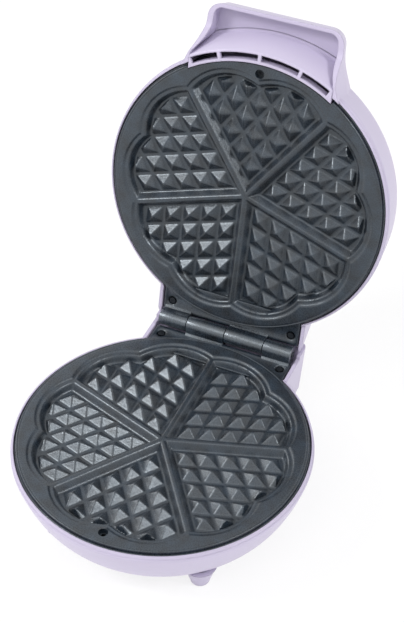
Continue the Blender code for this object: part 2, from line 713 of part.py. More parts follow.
def thermostat():
    """Snap-disc thermostat pressed to the lower plate's back by a strip with two screws."""
    top = plate_back() - SEAT_GAP
    shoulder = top - THERMOSTAT_FLANGE
    waist = top - THERMOSTAT_HEIGHT
    cap = THERMOSTAT_RADIUS - THERMOSTAT_CAP / 2
    body = turned("thermostat", [(0.0, top), (THERMOSTAT_FLANGE_RADIUS, top), (THERMOSTAT_FLANGE_RADIUS, shoulder),
                                 (THERMOSTAT_RADIUS, shoulder), (THERMOSTAT_RADIUS, waist), (cap, waist),
                                 (cap, thermostat_bottom()), (0.0, thermostat_bottom())], KNUCKLE_STEPS)
    for side in (-1, 1):
        _, y, end = thermostat_blade_end(side)
        join(body, box(f"blade_{side}", (-BLADE_WIDTH / 2, y - SHEET / 2, end),
                       (BLADE_WIDTH / 2, y + SHEET / 2, thermostat_bottom() + SINK)))
    piece("thermostat", body, CERAMIC, BASE_FRAME)

    strip_top = shoulder - SEAT_GAP
    strip = box("bracket", (-BRACKET_HALF, -BRACKET_WIDTH / 2, strip_top - SHEET),
                (BRACKET_HALF, BRACKET_WIDTH / 2, strip_top))
    ring = cylinder("bracket_ring", THERMOSTAT_FLANGE_RADIUS + SHEET, strip_top, strip_top - SHEET, (0.0, 0.0),
                    KNUCKLE_STEPS)
    join(strip, ring)
    cut(strip, cylinder("bracket_eye", THERMOSTAT_RADIUS + SIDE_GAP, strip_top + OVERRUN,
                        strip_top - SHEET - OVERRUN, (0.0, 0.0), KNUCKLE_STEPS))
    for side_name, side in (("left", -1), ("right", 1)):
        spot = (side * BRACKET_SCREW_X, 0.0)
        cut(strip, cylinder(f"strip_hole_{side_name}", PILOT_RADIUS, strip_top + OVERRUN,
                            strip_top - SHEET - OVERRUN, spot))
        head = strip_top - SHEET - SEAT_GAP - SCREW_HEAD_HEIGHT
        bite = SHEET + SEAT_GAP + (plate_back() - strip_top)
        fit_screw(f"thermostat_screw_{side_name}", BASE_FRAME, head, bite, spot, True)
    piece("thermostat_bracket", strip, STEEL, BASE_FRAME)


def fuse_depth():
    return reflector_top() - SHEET - SEAT_GAP - FUSE_RADIUS


def thermal_fuse():
    """Sleeved cut-off lying on the reflector, under a clip of spring steel that is spot-welded to it."""
    fuse = cylinder("fuse", FUSE_RADIUS, FUSE_LENGTH / 2, -FUSE_LENGTH / 2, (0.0, 0.0), SCREW_STEPS)
    fuse.rotation_euler = (math.pi / 2, 0.0, 0.0)
    fuse.location = (-FUSE_X, 0.0, fuse_depth())
    piece("thermal_fuse", fuse, CERAMIC, BASE_FRAME)

    inner = FUSE_RADIUS + SEAT_GAP
    outer = inner + SHEET
    seat = inner - SEAT_GAP
    turns = [math.pi * k / SCREW_STEPS for k in range(SCREW_STEPS + 1)]
    outline = [(inner + CLIP_FOOT, seat)] + [(inner, seat)]
    outline += [(inner * math.cos(turn), -inner * math.sin(turn)) for turn in turns]
    outline += [(-inner, seat), (-inner - CLIP_FOOT, seat), (-inner - CLIP_FOOT, seat - SHEET)]
    outline += [(-outer, seat - SHEET)]
    outline += [(outer * math.cos(turn), -outer * math.sin(turn)) for turn in reversed(turns)]
    outline += [(outer, seat - SHEET), (inner + CLIP_FOOT, seat - SHEET)]
    clip = loft("clip", [(outline, -CLIP_WIDTH / 2), (outline, CLIP_WIDTH / 2)])
    clip.rotation_euler = (math.pi / 2, 0.0, 0.0)
    clip.location = (-FUSE_X, 0.0, fuse_depth())
    piece("fuse_clip", clip, STEEL, BASE_FRAME)


def lead(name, stations):
    """A sleeved lead: it leaves and reaches its terminals straight, with a smooth run between."""
    spots = [Vector(station) for station in stations]
    padded = [spots[0] * 2 - spots[1]] + spots + [spots[-1] * 2 - spots[-2]]
    points = []
    for before, start, end, after in zip(padded, padded[1:], padded[2:], padded[3:]):
        for k in range(LEAD_STEPS):
            t = k / LEAD_STEPS
            points.append(0.5 * ((2 * start) + (end - before) * t + (2 * before - 5 * start + 4 * end - after) * t ** 2
                                 + (3 * start - before - 3 * end + after) * t ** 3))
    points.append(spots[-1])
    return tube(name, points, LEAD_RADIUS, 0)


def below(spot, drop):
    return (spot[0], spot[1], spot[2] - drop)


def terminal_foot(side):
    return below(element_end(side), SEAT_GAP + TERMINAL_LENGTH + CRIMP_GAP)


def base_leads():
    """Sleeved leads of the base: terminal block to fuse, fuse to thermostat, and on to the element."""
    drop = 4.0 * LEAD_RADIUS
    bottom = -(BASE_DEPTH - SHELL_WALL) + 2 * drop
    front = BLOCK_Y - BLOCK_SIZE[1] / 2 - CRIMP_GAP
    level = -(BASE_DEPTH - SHELL_WALL) + SEAT_GAP + BLOCK_SIZE[2] / 2
    pitch = BLOCK_SIZE[0] / BLOCK_WAYS
    fuse_end = FUSE_LENGTH / 2 + CRIMP_GAP
    blade = [below(thermostat_blade_end(side), CRIMP_GAP) for side in (-1, 1)]
    pins = [terminal_foot(side) for side in (-1, 1)]
    runs = [
        # live, from the block to the fuse
        [(-pitch, front, level), (-pitch, front - 2 * drop, level), (-FUSE_X, BLOCK_Y / 2, bottom),
         (-FUSE_X, fuse_end + 2 * drop, fuse_depth() - drop / 4), (-FUSE_X, fuse_end, fuse_depth())],
        # from the fuse to the thermostat
        [(-FUSE_X, -fuse_end, fuse_depth()), (-FUSE_X, -fuse_end - drop, fuse_depth()),
         (-FUSE_X / 2, -fuse_end - 2 * drop, bottom), below(blade[0], drop), blade[0]],
        # from the thermostat to one end of the element
        [blade[1], below(blade[1], drop), (pins[0][0], pins[0][1] / 2, bottom), below(pins[0], drop / 2), pins[0]],
        # neutral, from the other end of the element back to the block
        [pins[1], below(pins[1], drop / 2), (pitch, front - 3 * drop, level), (pitch, front, level)],
    ]
    for name, run in zip(("live_lead", "fuse_lead", "element_lead", "neutral_lead"), runs):
        piece(name, lead(name, run), SLEEVING, BASE_FRAME)


def terminal_block():
    """Three-way ceramic block on the floor of the rear housing, where the mains cord is joined."""
    floor = -(BASE_DEPTH - SHELL_WALL) + SEAT_GAP
    half = (BLOCK_SIZE[0] / 2, BLOCK_SIZE[1] / 2)
    block = box("block", (-half[0], BLOCK_Y - half[1], floor), (half[0], BLOCK_Y + half[1], floor + BLOCK_SIZE[2]))
    for way in range(BLOCK_WAYS):
        x = (way - (BLOCK_WAYS - 1) / 2) * BLOCK_SIZE[0] / BLOCK_WAYS
        cut(block, cylinder(f"block_screw_{way}", BLOCK_BORE, floor + BLOCK_SIZE[2] + OVERRUN,
                            floor + BLOCK_SIZE[2] / 2, (x, BLOCK_Y), 8))
    piece("terminal_block", block, CERAMIC, BASE_FRAME)


# Shells

def bowl_sides(depth, shares):
    """Outer side of a shell, as (radius, height) from its lip down."""
    side = [(BELLY_RADIUS * radius_share, -depth * depth_share) for depth_share, radius_share in shares]
    return [(LIP_RADIUS, -LIP_DROP)] + side


def bowl_outer(name, depth, shares):
    profile = [(0.0, -LIP_DROP)] + bowl_sides(depth, shares) + [(0.0, -depth)]
    return turned(name, profile, ROUND_STEPS)


def inset(profile, wall):
    """The inner side of a wall, from its outer side drawn from the lip down to the axis."""
    points = [Vector(point) for point in profile]
    inner = []
    for i, point in enumerate(points):
        normals = []
        for start, end in ((i - 1, i), (i, i + 1)):
            if start >= 0 and end < len(points):
                along = (points[end] - points[start]).normalized()
                normals.append(Vector((along.y, -along.x)))
        mitre = sum(normals, Vector((0.0, 0.0)))
        inner.append(point + mitre * (wall / (mitre.dot(normals[0]))))
    return inner


def hollow_out(shell, name, depth, shares):
    """Cut the well that the plate drops into, and the chamber under it."""
    well = PLATE_RADIUS + SIDE_GAP
    ledge = -SKIRT_DEPTH - SEAT_GAP
    side = inset(bowl_sides(depth, shares) + [(0.0, -depth)], SHELL_WALL)
    for upper, lower in zip(side, side[1:]):
        if upper.y > ledge >= lower.y:
            entry = upper + (lower - upper) * ((upper.y - ledge) / (upper.y - lower.y))
    mouth = [(0.0, ledge + SINK), (entry.x, ledge + SINK), tuple(entry)]
    chamber = mouth + [tuple(point) for point in side[:-1] if point.y < ledge] + [(0.0, side[-1].y)]
    cut(shell, turned(f"{name}_well", [(0.0, OVERRUN), (well, OVERRUN), (well, ledge), (0.0, ledge)], ROUND_STEPS),
        turned(f"{name}_chamber", chamber, ROUND_STEPS // 2))


def housing_outline(half, end, corner):
    return rounded((((-half, HOUSING_START), 0.0), ((half, HOUSING_START), 0.0), ((half, end), corner),
                    ((-half, end), corner)))


def foot(name, x, y):
    """A hollow moulded post with a flat tip."""
    tip = -FOOT_HEIGHT
    neck = tip + FOOT_TAPER
    root = -BASE_DEPTH + SHELL_WALL / 2
    post = turned(name, [(0.0, root), (FOOT_ROOT, root), ((FOOT_ROOT + FOOT_TIP + FOOT_EDGE) / 2 + FOOT_EDGE, neck),
                         (FOOT_TIP + FOOT_EDGE, tip + FOOT_EDGE), (FOOT_TIP, tip), (0.0, tip)], FOOT_STEPS)
    post.location = (x, y, 0.0)
    return post


def foot_core(name, x, y):
    tip = -FOOT_HEIGHT + FOOT_WALL
    core = turned(name, [(0.0, -BASE_DEPTH + SHELL_WALL + OVERRUN), (FOOT_ROOT - FOOT_WALL, -BASE_DEPTH + SHELL_WALL + OVERRUN),
                         (FOOT_ROOT - FOOT_WALL, -BASE_DEPTH + SHELL_WALL), (FOOT_TIP, tip), (0.0, tip)], SCREW_STEPS)
    core.location = (x, y, 0.0)
    return core


def base_shell():
    """The lower moulding: bowl, rear housing, deck under the hinge and four hollow feet in one."""
    floor = -(BASE_DEPTH - SHELL_WALL)
    shell = bowl_outer("base_bowl", BASE_DEPTH, BASE_SIDE_SHARES)
    narrow = HOUSING_HALF - HOUSING_DRAFT
    housing = loft("base_housing", [
        (housing_outline(narrow, BASE_HOUSING_END, HOUSING_CORNER), -BASE_DEPTH + SINK),
        (housing_outline(HOUSING_HALF, BASE_HOUSING_END, HOUSING_CORNER), -HOUSING_TOP),
        (housing_outline(HOUSING_HALF, BASE_HOUSING_END, HOUSING_CORNER), -BASE_REAR_TOP)])
    cut(housing, box("cheek_trim", (-HOUSING_HALF - OVERRUN, HOUSING_START - OVERRUN, -HOUSING_TOP),
                     (HOUSING_HALF + OVERRUN, BASE_REAR_RISE_Y, OVERRUN)))
    join(shell, housing)
    feet = [(side * x, y) for side in (-1, 1) for x, y in (FRONT_FOOT, REAR_FOOT)]
    for number, (x, y) in enumerate(feet):
        join(shell, foot(f"foot_{number}", x, y))

    inner_half = HOUSING_HALF - HOUSING_WALL
    inner_end = BASE_HOUSING_END - HOUSING_WALL
    corner = HOUSING_CORNER - HOUSING_WALL
    cut(shell, loft("base_housing_core", [
        (housing_outline(inner_half - HOUSING_DRAFT, inner_end, corner), floor),
        (housing_outline(inner_half, inner_end, corner), -HOUSING_TOP),
        (housing_outline(inner_half, inner_end, corner), OVERRUN)]))
    deck_top = -FLANGE_DROP - FLANGE_WALL - SEAT_GAP
    join(shell, box("deck", (-inner_half - SINK, FLANGE_START, deck_top - DECK_WALL),
                    (inner_half + SINK, inner_end + SINK, deck_top)))
    hollow_out(shell, "base", BASE_DEPTH, BASE_SIDE_SHARES)

    for number, (x, y, _, bottom) in enumerate(plate_screws()):
        top = bottom - SEAT_GAP
        post_top = top if y < 0 else top - SINK
        post = cylinder(f"post_{number}", POST_RADIUS, post_top, floor - SINK, (x, y))
        if y < 0:
            # the front post ends in the bowl's sloping wall
            skin = inset(bowl_sides(BASE_DEPTH, BASE_SIDE_SHARES) + [(0.0, -BASE_DEPTH)], SHELL_WALL / 2)
            limits = [(0.0, 0.0), (skin[0].x, 0.0)] + [tuple(point) for point in skin[1:-1]] + [(0.0, skin[-1].y)]
            boolean(post, turned("front_post_limits", limits, ROUND_STEPS), 'INTERSECT')
        join(shell, post)
        cut(shell, cylinder(f"pilot_{number}", PILOT_RADIUS, OVERRUN, top - SCREW_BITE - OVERRUN, (x, y)))
    for number, (x, y) in enumerate(feet):
        cut(shell, foot_core(f"foot_core_{number}", x, y))
    for number in range(VENT_COUNT):
        x = (number - (VENT_COUNT - 1) / 2) * VENT_PITCH
        cut(shell, box(f"vent_{number}", (x - VENT_WIDTH / 2, -VENT_LENGTH / 2, floor - SHELL_WALL - OVERRUN),
                       (x + VENT_WIDTH / 2, VENT_LENGTH / 2, floor + OVERRUN)))
    hole = cylinder("gland_hole", GLAND_NECK + SIDE_GAP, OVERRUN + HOUSING_WALL, -OVERRUN - HOUSING_WALL,
                    (0.0, 0.0), GLAND_STEPS)
    hole.rotation_euler = (math.pi / 2, 0.0, 0.0)
    hole.location = (0.0, BASE_HOUSING_END, -GLAND_DEPTH)
    cut(shell, hole)
    piece("base_shell", shell, LAVENDER_PLASTIC, BASE_FRAME)


def cord_gland():
    """Grommet in the rear wall that the mains cord enters through: two flanges on a neck."""
    outside = GLAND_FLANGE_WALL + SEAT_GAP
    inside = -HOUSING_WALL - SEAT_GAP
    profile = [(GLAND_BORE, outside), (GLAND_FLANGE - SHEET, outside), (GLAND_FLANGE, outside - SHEET),
               (GLAND_FLANGE, SEAT_GAP), (GLAND_NECK, SEAT_GAP), (GLAND_NECK, inside), (GLAND_FLANGE, inside),
               (GLAND_FLANGE, inside - GLAND_FLANGE_WALL), (GLAND_BORE, inside - GLAND_FLANGE_WALL)]
    gland = turned("gland", profile, GLAND_STEPS, closed=True)
    gland.rotation_euler = (-math.pi / 2, 0.0, 0.0)
    gland.location = (0.0, BASE_HOUSING_END, -GLAND_DEPTH)
    piece("cord_gland", gland, BLACK_RUBBER, BASE_FRAME)


def hinge_pin():
    """Steel pin through all four knuckles, with crowned ends."""
    half = KNUCKLE_ENDS[3] + PIN_OVERHANG
    profile = [(0.0, half), (PIN_RADIUS - PIN_CROWN, half), (PIN_RADIUS, half - PIN_CROWN),
               (PIN_RADIUS, -half + PIN_CROWN), (PIN_RADIUS - PIN_CROWN, -half), (0.0, -half)]
    pin = turned("pin", profile, SCREW_STEPS)
    pin.rotation_euler = (0.0, math.pi / 2, 0.0)
    pin.location = (0.0, HINGE_Y, HINGE_Z)
    piece("hinge_pin", pin, STEEL, BASE_FRAME)


# Lid

def hood_outline(inset_side, inset_front, corner):
    """The handle hood from above: it runs into the dome behind and is drawn in by the insets."""
    side = [(HOOD_HALF * width - inset_side, -HOOD_FRONT * reach) for width, reach in HOOD_SIDE_SHARES]
    half = HOOD_HALF - inset_side
    front = -(HOOD_FRONT - inset_front)
    right = [(side[0], 0.0), (side[1], 0.0), (side[2], HOOD_SIDE_BEND), (side[3], HOOD_SIDE_BEND)]
    right += [((half, front), corner)]
    left = [((-x, y), radius) for (x, y), radius in reversed(right)]
    return rounded(right + left)


def hood_core_outline(clearance):
    """The space inside the hood, from the dome's chamber out to the front wall."""
    side = [(HOOD_HALF * width - HOOD_WALL - clearance, -HOOD_FRONT * reach) for width, reach in HOOD_SIDE_SHARES]
    start = (COVER_HALF + SIDE_GAP - clearance, side[1][1])
    half = HOOD_HALF - HOOD_WALL - clearance
    front = -(HOOD_FRONT - HOOD_FRONT_WALL - clearance)
    right = [(start, 0.0), ((COVER_HALF + SIDE_GAP - clearance, -HOOD_SLOPE_START), 0.0), (side[3], 0.0)]
    right += [((half, front), HOOD_CORNER - HOOD_WALL)]
    left = [((-x, y), radius) for (x, y), radius in reversed(right)]
    return rounded(right + left)


def lid_shell():
    """The upper moulding: drum with a crowned top, rear housing, and the hood that is its handle."""
    shell = bowl_outer("lid_drum", LID_DEPTH, LID_SIDE_SHARES)
    half_low = HOUSING_HALF - HOUSING_DRAFT
    join(shell, loft("lid_housing", [
        (housing_outline(half_low, LID_HOUSING_END - LID_HOUSING_LEAN, HOUSING_CORNER), -LID_HOUSING_TOP),
        (housing_outline(HOUSING_HALF, LID_HOUSING_END, HOUSING_CORNER), -HOUSING_TOP)]))
    join(shell, loft("hood", [
        (hood_outline(HOOD_ROUNDING, HOOD_ROUNDING, HOOD_CORNER - HOOD_ROUNDING / 2), -HOOD_TOP),
        (hood_outline(HOOD_ROUNDING / 3, HOOD_ROUNDING / 2, HOOD_CORNER), -HOOD_TOP + HOOD_ROUNDING / 3),
        (hood_outline(0.0, HOOD_ROUNDING / 8, HOOD_CORNER), -HOOD_TOP + HOOD_ROUNDING),
        (hood_outline(0.0, 0.0, HOOD_CORNER), -HOOD_RIM),
        (hood_outline(0.0, 0.0, HOOD_CORNER), -SINK)]))
    # everything in front of the cover and below the hood's rim is taken away along a sloping edge
    edge = [(-HOOD_SLOPE_START, 2 * OVERRUN), (-HOOD_SLOPE_START, 0.0), (-HOOD_SLOPE_END, -HOOD_RIM),
            (-HOOD_FRONT - OVERRUN, -HOOD_RIM), (-HOOD_FRONT - OVERRUN, 2 * OVERRUN)]
    slope = loft("hood_slope", [(edge, -HOOD_HALF * 2), (edge, HOOD_HALF * 2)])
    slope.matrix_local = ALONG_X
    cut(shell, slope)
    core = loft("hood_core", [(hood_core_outline(0.0), -HOOD_ROOF), (hood_core_outline(0.0), OVERRUN)])
    cut(shell, core)

    inner_half = HOUSING_HALF - HOUSING_WALL
    corner = HOUSING_CORNER - HOUSING_WALL
    inner_end = LID_HOUSING_END - HOUSING_WALL
    roof = -LID_HOUSING_TOP + HOUSING_WALL
    cut(shell, loft("lid_housing_core", [
        (housing_outline(inner_half - HOUSING_DRAFT, inner_end - LID_HOUSING_LEAN, corner), roof),
        (housing_outline(inner_half, inner_end, corner), -HOUSING_TOP - SINK),
        (housing_outline(inner_half, inner_end, corner), OVERRUN)]))
    flange_back = -FLANGE_DROP - FLANGE_WALL - SEAT_GAP
    cut(shell, box("flange_passage", (-inner_half, FLANGE_START, flange_back),
                   (inner_half, LID_HOUSING_END + OVERRUN, OVERRUN)))
    hollow_out(shell, "lid", LID_DEPTH, LID_SIDE_SHARES)

    for number, (x, y, _, bottom) in enumerate(plate_screws()[1:]):
        top = bottom - SEAT_GAP
        join(shell, cylinder(f"lid_post_{number}", POST_RADIUS, top, -LID_POST_END, (x, y)))
        cut(shell, cylinder(f"lid_pilot_{number}", PILOT_RADIUS, top + OVERRUN, top - SCREW_BITE - SEAT_GAP, (x, y)))
    front_top = -SKIRT_DEPTH - SEAT_GAP
    join(shell, cylinder("lid_front_post", POST_RADIUS, front_top, lid_top(FRONT_SCREW_Y) + SHELL_WALL / 2,
                         (0.0, -FRONT_SCREW_Y)))
    cut(shell, cylinder("lid_front_pilot", PILOT_RADIUS, front_top + OVERRUN, front_top - SCREW_BITE - SEAT_GAP,
                        (0.0, -FRONT_SCREW_Y)))
    for side in (-1, 1):
        cut(shell, cylinder(f"cover_pilot_{side}", PILOT_RADIUS, -HOOD_ROOF + OVERRUN,
                            -HOOD_ROOF - COVER_SCREW_BITE - SEAT_GAP, (side * COVER_EAR_X, -COVER_EAR_Y)))
        cut(shell, cylinder(f"lens_hole_{side}", LENS_NECK + SIDE_GAP, -HOLDER_DEPTH, -LID_DEPTH - OVERRUN,
                            (side * LAMP_X, -LAMP_Y), LENS_STEPS))
    join(shell, cylinder("holder_post", POST_RADIUS, holder_top() - SEAT_GAP, lid_skin(LAMP_Y) - SINK,
                         (0.0, -LAMP_Y)))
    cut(shell, cylinder("holder_pilot", PILOT_RADIUS, holder_top() + OVERRUN, lid_skin(LAMP_Y), (0.0, -LAMP_Y)))
    piece("lid_shell", shell, LAVENDER_PLASTIC, LID_FRAME)


def lid_top(radius):
    """Height of the lid's outer face at a radius on its crowned top."""
    crown = [(BELLY_RADIUS * radius_share, -LID_DEPTH * depth_share)
             for depth_share, radius_share in LID_SIDE_SHARES] + [(0.0, -LID_DEPTH)]
    for (outer, high), (inner, low) in zip(crown, crown[1:]):
        if inner <= radius <= outer and outer > inner:
            return high + (low - high) * (outer - radius) / (outer - inner)
    return -LID_DEPTH


def lid_skin(radius):
    return lid_top(radius) + SHELL_WALL


def holder_top():
    return -HOLDER_DEPTH


def handle_cover():
    """Curved wall under the hood with a strip of vent slots along its foot and a flared top."""
    slot_in = COVER_LIP_RADIUS + COVER_LIP
    slot_out = slot_in + VENT_SLOT_WIDTH
    strip = slot_out + VENT_BORDER
    roof = -HOOD_ROOF + SEAT_GAP
    step = -COVER_STEP_DEPTH
    inner = COVER_RADIUS - COVER_WALL
    profile = [(COVER_LIP_RADIUS, 0.0), (strip, 0.0), (strip + COVER_CHAMFER, -COVER_CHAMFER), (COVER_RADIUS, step),
               (COVER_RADIUS + COVER_FLARE, roof), (inner + COVER_FLARE, roof), (inner, step),
               (slot_out + SINK, -COVER_WALL), (slot_in, -COVER_WALL), (slot_in, -COVER_FOOT),
               (COVER_LIP_RADIUS, -COVER_FOOT)]
    cover = turned("cover_wall", profile, COVER_STEPS, closed=True)
    inside = hood_core_outline(SIDE_GAP)
    boolean(cover, loft("cover_limits", [(inside, -HOOD_ROOF - OVERRUN), (inside, OVERRUN)]), 'INTERSECT')
    starts = [VENT_ENDS[0]] + [rib + VENT_RIB / 2 for rib in VENT_RIBS]
    ends = [rib - VENT_RIB / 2 for rib in VENT_RIBS] + [VENT_ENDS[1]]
    for number, (start, end) in enumerate(zip(starts, ends)):
        first, last = (math.asin(x / slot_in) - math.pi / 2 for x in (start, end))
        turns = [first + (last - first) * k / SLOT_STEPS for k in range(SLOT_STEPS + 1)]
        outline = [polar(slot_in + SINK, turn) for turn in turns]
        outline += [polar(slot_out, turn) for turn in reversed(turns)]
        cut(cover, loft(f"vent_slot_{number}", [(outline, -COVER_WALL - SINK), (outline, OVERRUN)]))
    for side_name, side in (("left", -1), ("right", 1)):
        x = side * COVER_EAR_X
        rim = inner + COVER_FLARE + SINK
        ear = box(f"cover_ear_{side}", (x - COVER_EAR[0] / 2, -COVER_EAR_Y - COVER_EAR[1], roof),
                  (x + COVER_EAR[0] / 2, -COVER_EAR_Y + COVER_EAR[1] / 2, roof + COVER_EAR[2]))
        trim = turned(f"ear_trim_{side}", [(COVER_RADIUS + 2 * OVERRUN + COVER_EAR[1], OVERRUN),
                                           (COVER_RADIUS + 2 * OVERRUN + COVER_EAR[1], -HOOD_ROOF - OVERRUN),
                                           (rim, -HOOD_ROOF - OVERRUN), (rim, OVERRUN)],
                      ROUND_STEPS, closed=True)
        cut(ear, trim)
        join(cover, ear)
        cut(cover, cylinder(f"ear_hole_{side}", PILOT_RADIUS, roof + COVER_EAR[2] + OVERRUN, roof - OVERRUN,
                            (x, -COVER_EAR_Y)))
        head = roof + COVER_EAR[2] + SEAT_GAP + SCREW_HEAD_HEIGHT
        bite = COVER_EAR[2] + 2 * SEAT_GAP + COVER_SCREW_BITE
        fit_screw(f"handle_cover_screw_{side_name}", LID_FRAME, head, bite, (x, -COVER_EAR_Y))
    piece("handle_cover", cover, LAVENDER_PLASTIC, LID_FRAME)


def signal_lamps():
    """Red and green lenses on the lid, with a glow lamp behind each in one screwed holder."""
    for name, side, material in (("power_lamp_lens", -1, RED_LENS), ("ready_lamp_lens", 1, GREEN_LENS)):
        reach = math.hypot(LAMP_X, LAMP_Y)
        seat = lid_top(reach - LENS_HEAD) - SEAT_GAP
        head = LENS_HEAD * 2 / 3
        # the lens frame has its head down, away from the rim plane
        profile = [(LENS_NECK, seat), (LENS_HEAD, seat), (LENS_HEAD, seat - LENS_CROWN / 2),
                   (head, seat - LENS_CROWN), (0.0, seat - LENS_CROWN)]
        neck = [(0.0, seat), (LENS_NECK - LENS_WALL, seat), (LENS_NECK - LENS_WALL, seat + LENS_LENGTH),
                (LENS_NECK, seat + LENS_LENGTH)]
        lens = turned(name, neck + profile, LENS_STEPS)
        lens.location = (side * LAMP_X, -LAMP_Y, 0.0)
        piece(name, lens, material, LID_FRAME)
    floor = holder_top()
    half = (HOLDER_SIZE[0] / 2, HOLDER_SIZE[1] / 2)
    holder = box("holder", (-half[0], -LAMP_Y - half[1], floor), (half[0], -LAMP_Y + half[1], floor + HOLDER_SIZE[2]))
    lamps = []
    for side in (-1, 1):
        spot = (side * LAMP_X, -LAMP_Y)
        cut(holder, cylinder(f"lamp_bore_{side}", LAMP_RADIUS + SIDE_GAP, floor + HOLDER_SIZE[2] + OVERRUN,
                             floor - OVERRUN, spot))
        middle = floor - LAMP_LENGTH / 2 + HOLDER_SIZE[2]
        lamps.append(cylinder(f"lamp_{side}", LAMP_RADIUS, middle + LAMP_LENGTH / 2, middle - LAMP_LENGTH / 2, spot))
    cut(holder, cylinder("holder_hole", PILOT_RADIUS, floor + HOLDER_SIZE[2] + OVERRUN, floor - OVERRUN,
                         (0.0, -LAMP_Y)))
    piece("lamp_holder", holder, CERAMIC, LID_FRAME)
    for name, lamp in zip(("power_glow_lamp", "ready_glow_lamp"), lamps):
        piece(name, lamp, LAMP_GLASS, LID_FRAME)
    # two leads come from the element's terminals, and a link joins the lamps
    top = floor + HOLDER_SIZE[2] + 2 * SEAT_GAP
    pitch = LAMP_RADIUS * 2 / 3
    rise = 2 * LEAD_RADIUS
    for name, side in (("lamp_lead_left", -1), ("lamp_lead_right", 1)):
        pin = terminal_foot(side)
        x = side * LAMP_X
        run = [(x, pitch - LAMP_Y, top), (x, pitch - LAMP_Y + rise / 2, top + rise), (x, -LAMP_Y / 2, pin[2] + rise),
               (pin[0], pin[1] / 2, pin[2] - rise / 2), (pin[0], pin[1] - rise / 2, pin[2] - rise), pin]
        piece(name, lead(name, run), SLEEVING, LID_FRAME)
    y = -LAMP_Y - pitch
    link = [(-LAMP_X, y, top), (-LAMP_X + rise / 2, y, top + rise), (0.0, y, top + 2 * rise),
            (LAMP_X - rise / 2, y, top + rise), (LAMP_X, y, top)]
    piece("lamp_link", lead("lamp_link", link), SLEEVING, LID_FRAME)
    fit_screw("lamp_holder_screw", LID_FRAME, floor + HOLDER_SIZE[2] + SEAT_GAP + SCREW_HEAD_HEIGHT,
              HOLDER_SIZE[2] + SEAT_GAP + HOLDER_SCREW_BITE, (0.0, -LAMP_Y))


def build():
    casting = plate_casting()
    mesh = baked(casting)
    for tool in [casting] + [tool for tool in CUTTERS.objects if tool.parent == casting]:
        bpy.data.objects.remove(tool, do_unlink=True)
    for prefix, frame in (("lower", BASE_FRAME), ("upper", LID_FRAME)):
        fixed_plate(prefix, mesh, frame)
        heater(prefix, frame)
    base_shell()
    thermostat()
    thermal_fuse()
    terminal_block()
    base_leads()
    cord_gland()
    hinge_pin()
    lid_shell()
    handle_cover()
    signal_lamps()
    stand_on_origin()
    finish_pieces()


def finish_pieces():
    """Apply each piece's modifiers and shade its round surfaces smooth. The cutters have done their work."""
    shaped = [(obj, baked(obj)) for obj in PIECES.objects if obj.type == 'MESH']
    for obj, mesh in shaped:
        obj.modifiers.clear()
        obj.data = mesh
        mesh.shade_smooth()
        mesh.set_sharp_from_angle(angle=SMOOTH_TURN)
    for tool in list(CUTTERS.objects):
        bpy.data.objects.remove(tool, do_unlink=True)


def stand_on_origin():
    """Slide the object so that the origin lies under the middle of its box."""
    bpy.context.view_layer.update()
    graph = bpy.context.evaluated_depsgraph_get()
    reach = []
    for obj in PIECES.objects:
        if obj.type == 'MESH':
            evaluated = obj.evaluated_get(graph)
            mesh = evaluated.to_mesh()
            reach += [(obj.matrix_world @ vertex.co).y for vertex in mesh.vertices]
            evaluated.to_mesh_clear()
    BASE_FRAME.location.y = -(min(reach) + max(reach)) / 2


build()
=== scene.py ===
import json
import math

import bmesh
import bpy
import numpy as np
from mathutils import Matrix, Vector


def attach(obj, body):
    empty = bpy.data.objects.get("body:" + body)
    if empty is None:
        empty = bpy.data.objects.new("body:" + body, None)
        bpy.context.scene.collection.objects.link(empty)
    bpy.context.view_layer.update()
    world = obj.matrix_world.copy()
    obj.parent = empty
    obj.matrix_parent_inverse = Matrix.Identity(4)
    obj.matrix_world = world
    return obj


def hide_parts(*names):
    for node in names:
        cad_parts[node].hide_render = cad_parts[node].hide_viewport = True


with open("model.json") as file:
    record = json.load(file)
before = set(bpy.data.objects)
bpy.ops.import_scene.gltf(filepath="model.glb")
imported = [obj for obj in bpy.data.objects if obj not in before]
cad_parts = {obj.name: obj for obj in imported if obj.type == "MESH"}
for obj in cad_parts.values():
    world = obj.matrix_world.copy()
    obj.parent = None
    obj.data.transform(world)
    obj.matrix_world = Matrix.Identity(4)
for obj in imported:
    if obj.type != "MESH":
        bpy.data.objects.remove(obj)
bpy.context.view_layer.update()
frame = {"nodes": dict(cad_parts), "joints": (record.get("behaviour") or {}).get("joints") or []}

# The two halves
# Both are modelled face up in millimetres, each in its own frame: the plate's face lies in the plane z = 0,
# the handle is towards -Y and the hinge towards +Y. The lid is such a frame turned over and opened about the
# hinge pin.

MM = 0.001
HINGE = Vector(frame["joints"][0]["pos_m"])
HINGE_Y, HINGE_Z = 106.6, 1.0
LID_OPENING = math.radians(104.24)

BASE_AT = Matrix.Translation(HINGE - Vector((0.0, HINGE_Y, HINGE_Z)) * MM)
LID_AT = (Matrix.Translation(HINGE) @ Matrix.Rotation(-LID_OPENING, 4, 'X')
          @ Matrix.Translation(Vector((0.0, -HINGE_Y, HINGE_Z)) * MM) @ Matrix.Rotation(math.pi, 4, 'Y'))


# Non-stick waffle plates
# Two die-cast aluminium plates from one mould: five hearts between radial dividers, each heart with rows of
# rhombic pyramids that follow its dividers. A dark PTFE coat is sprayed on and baked over the cast skin.

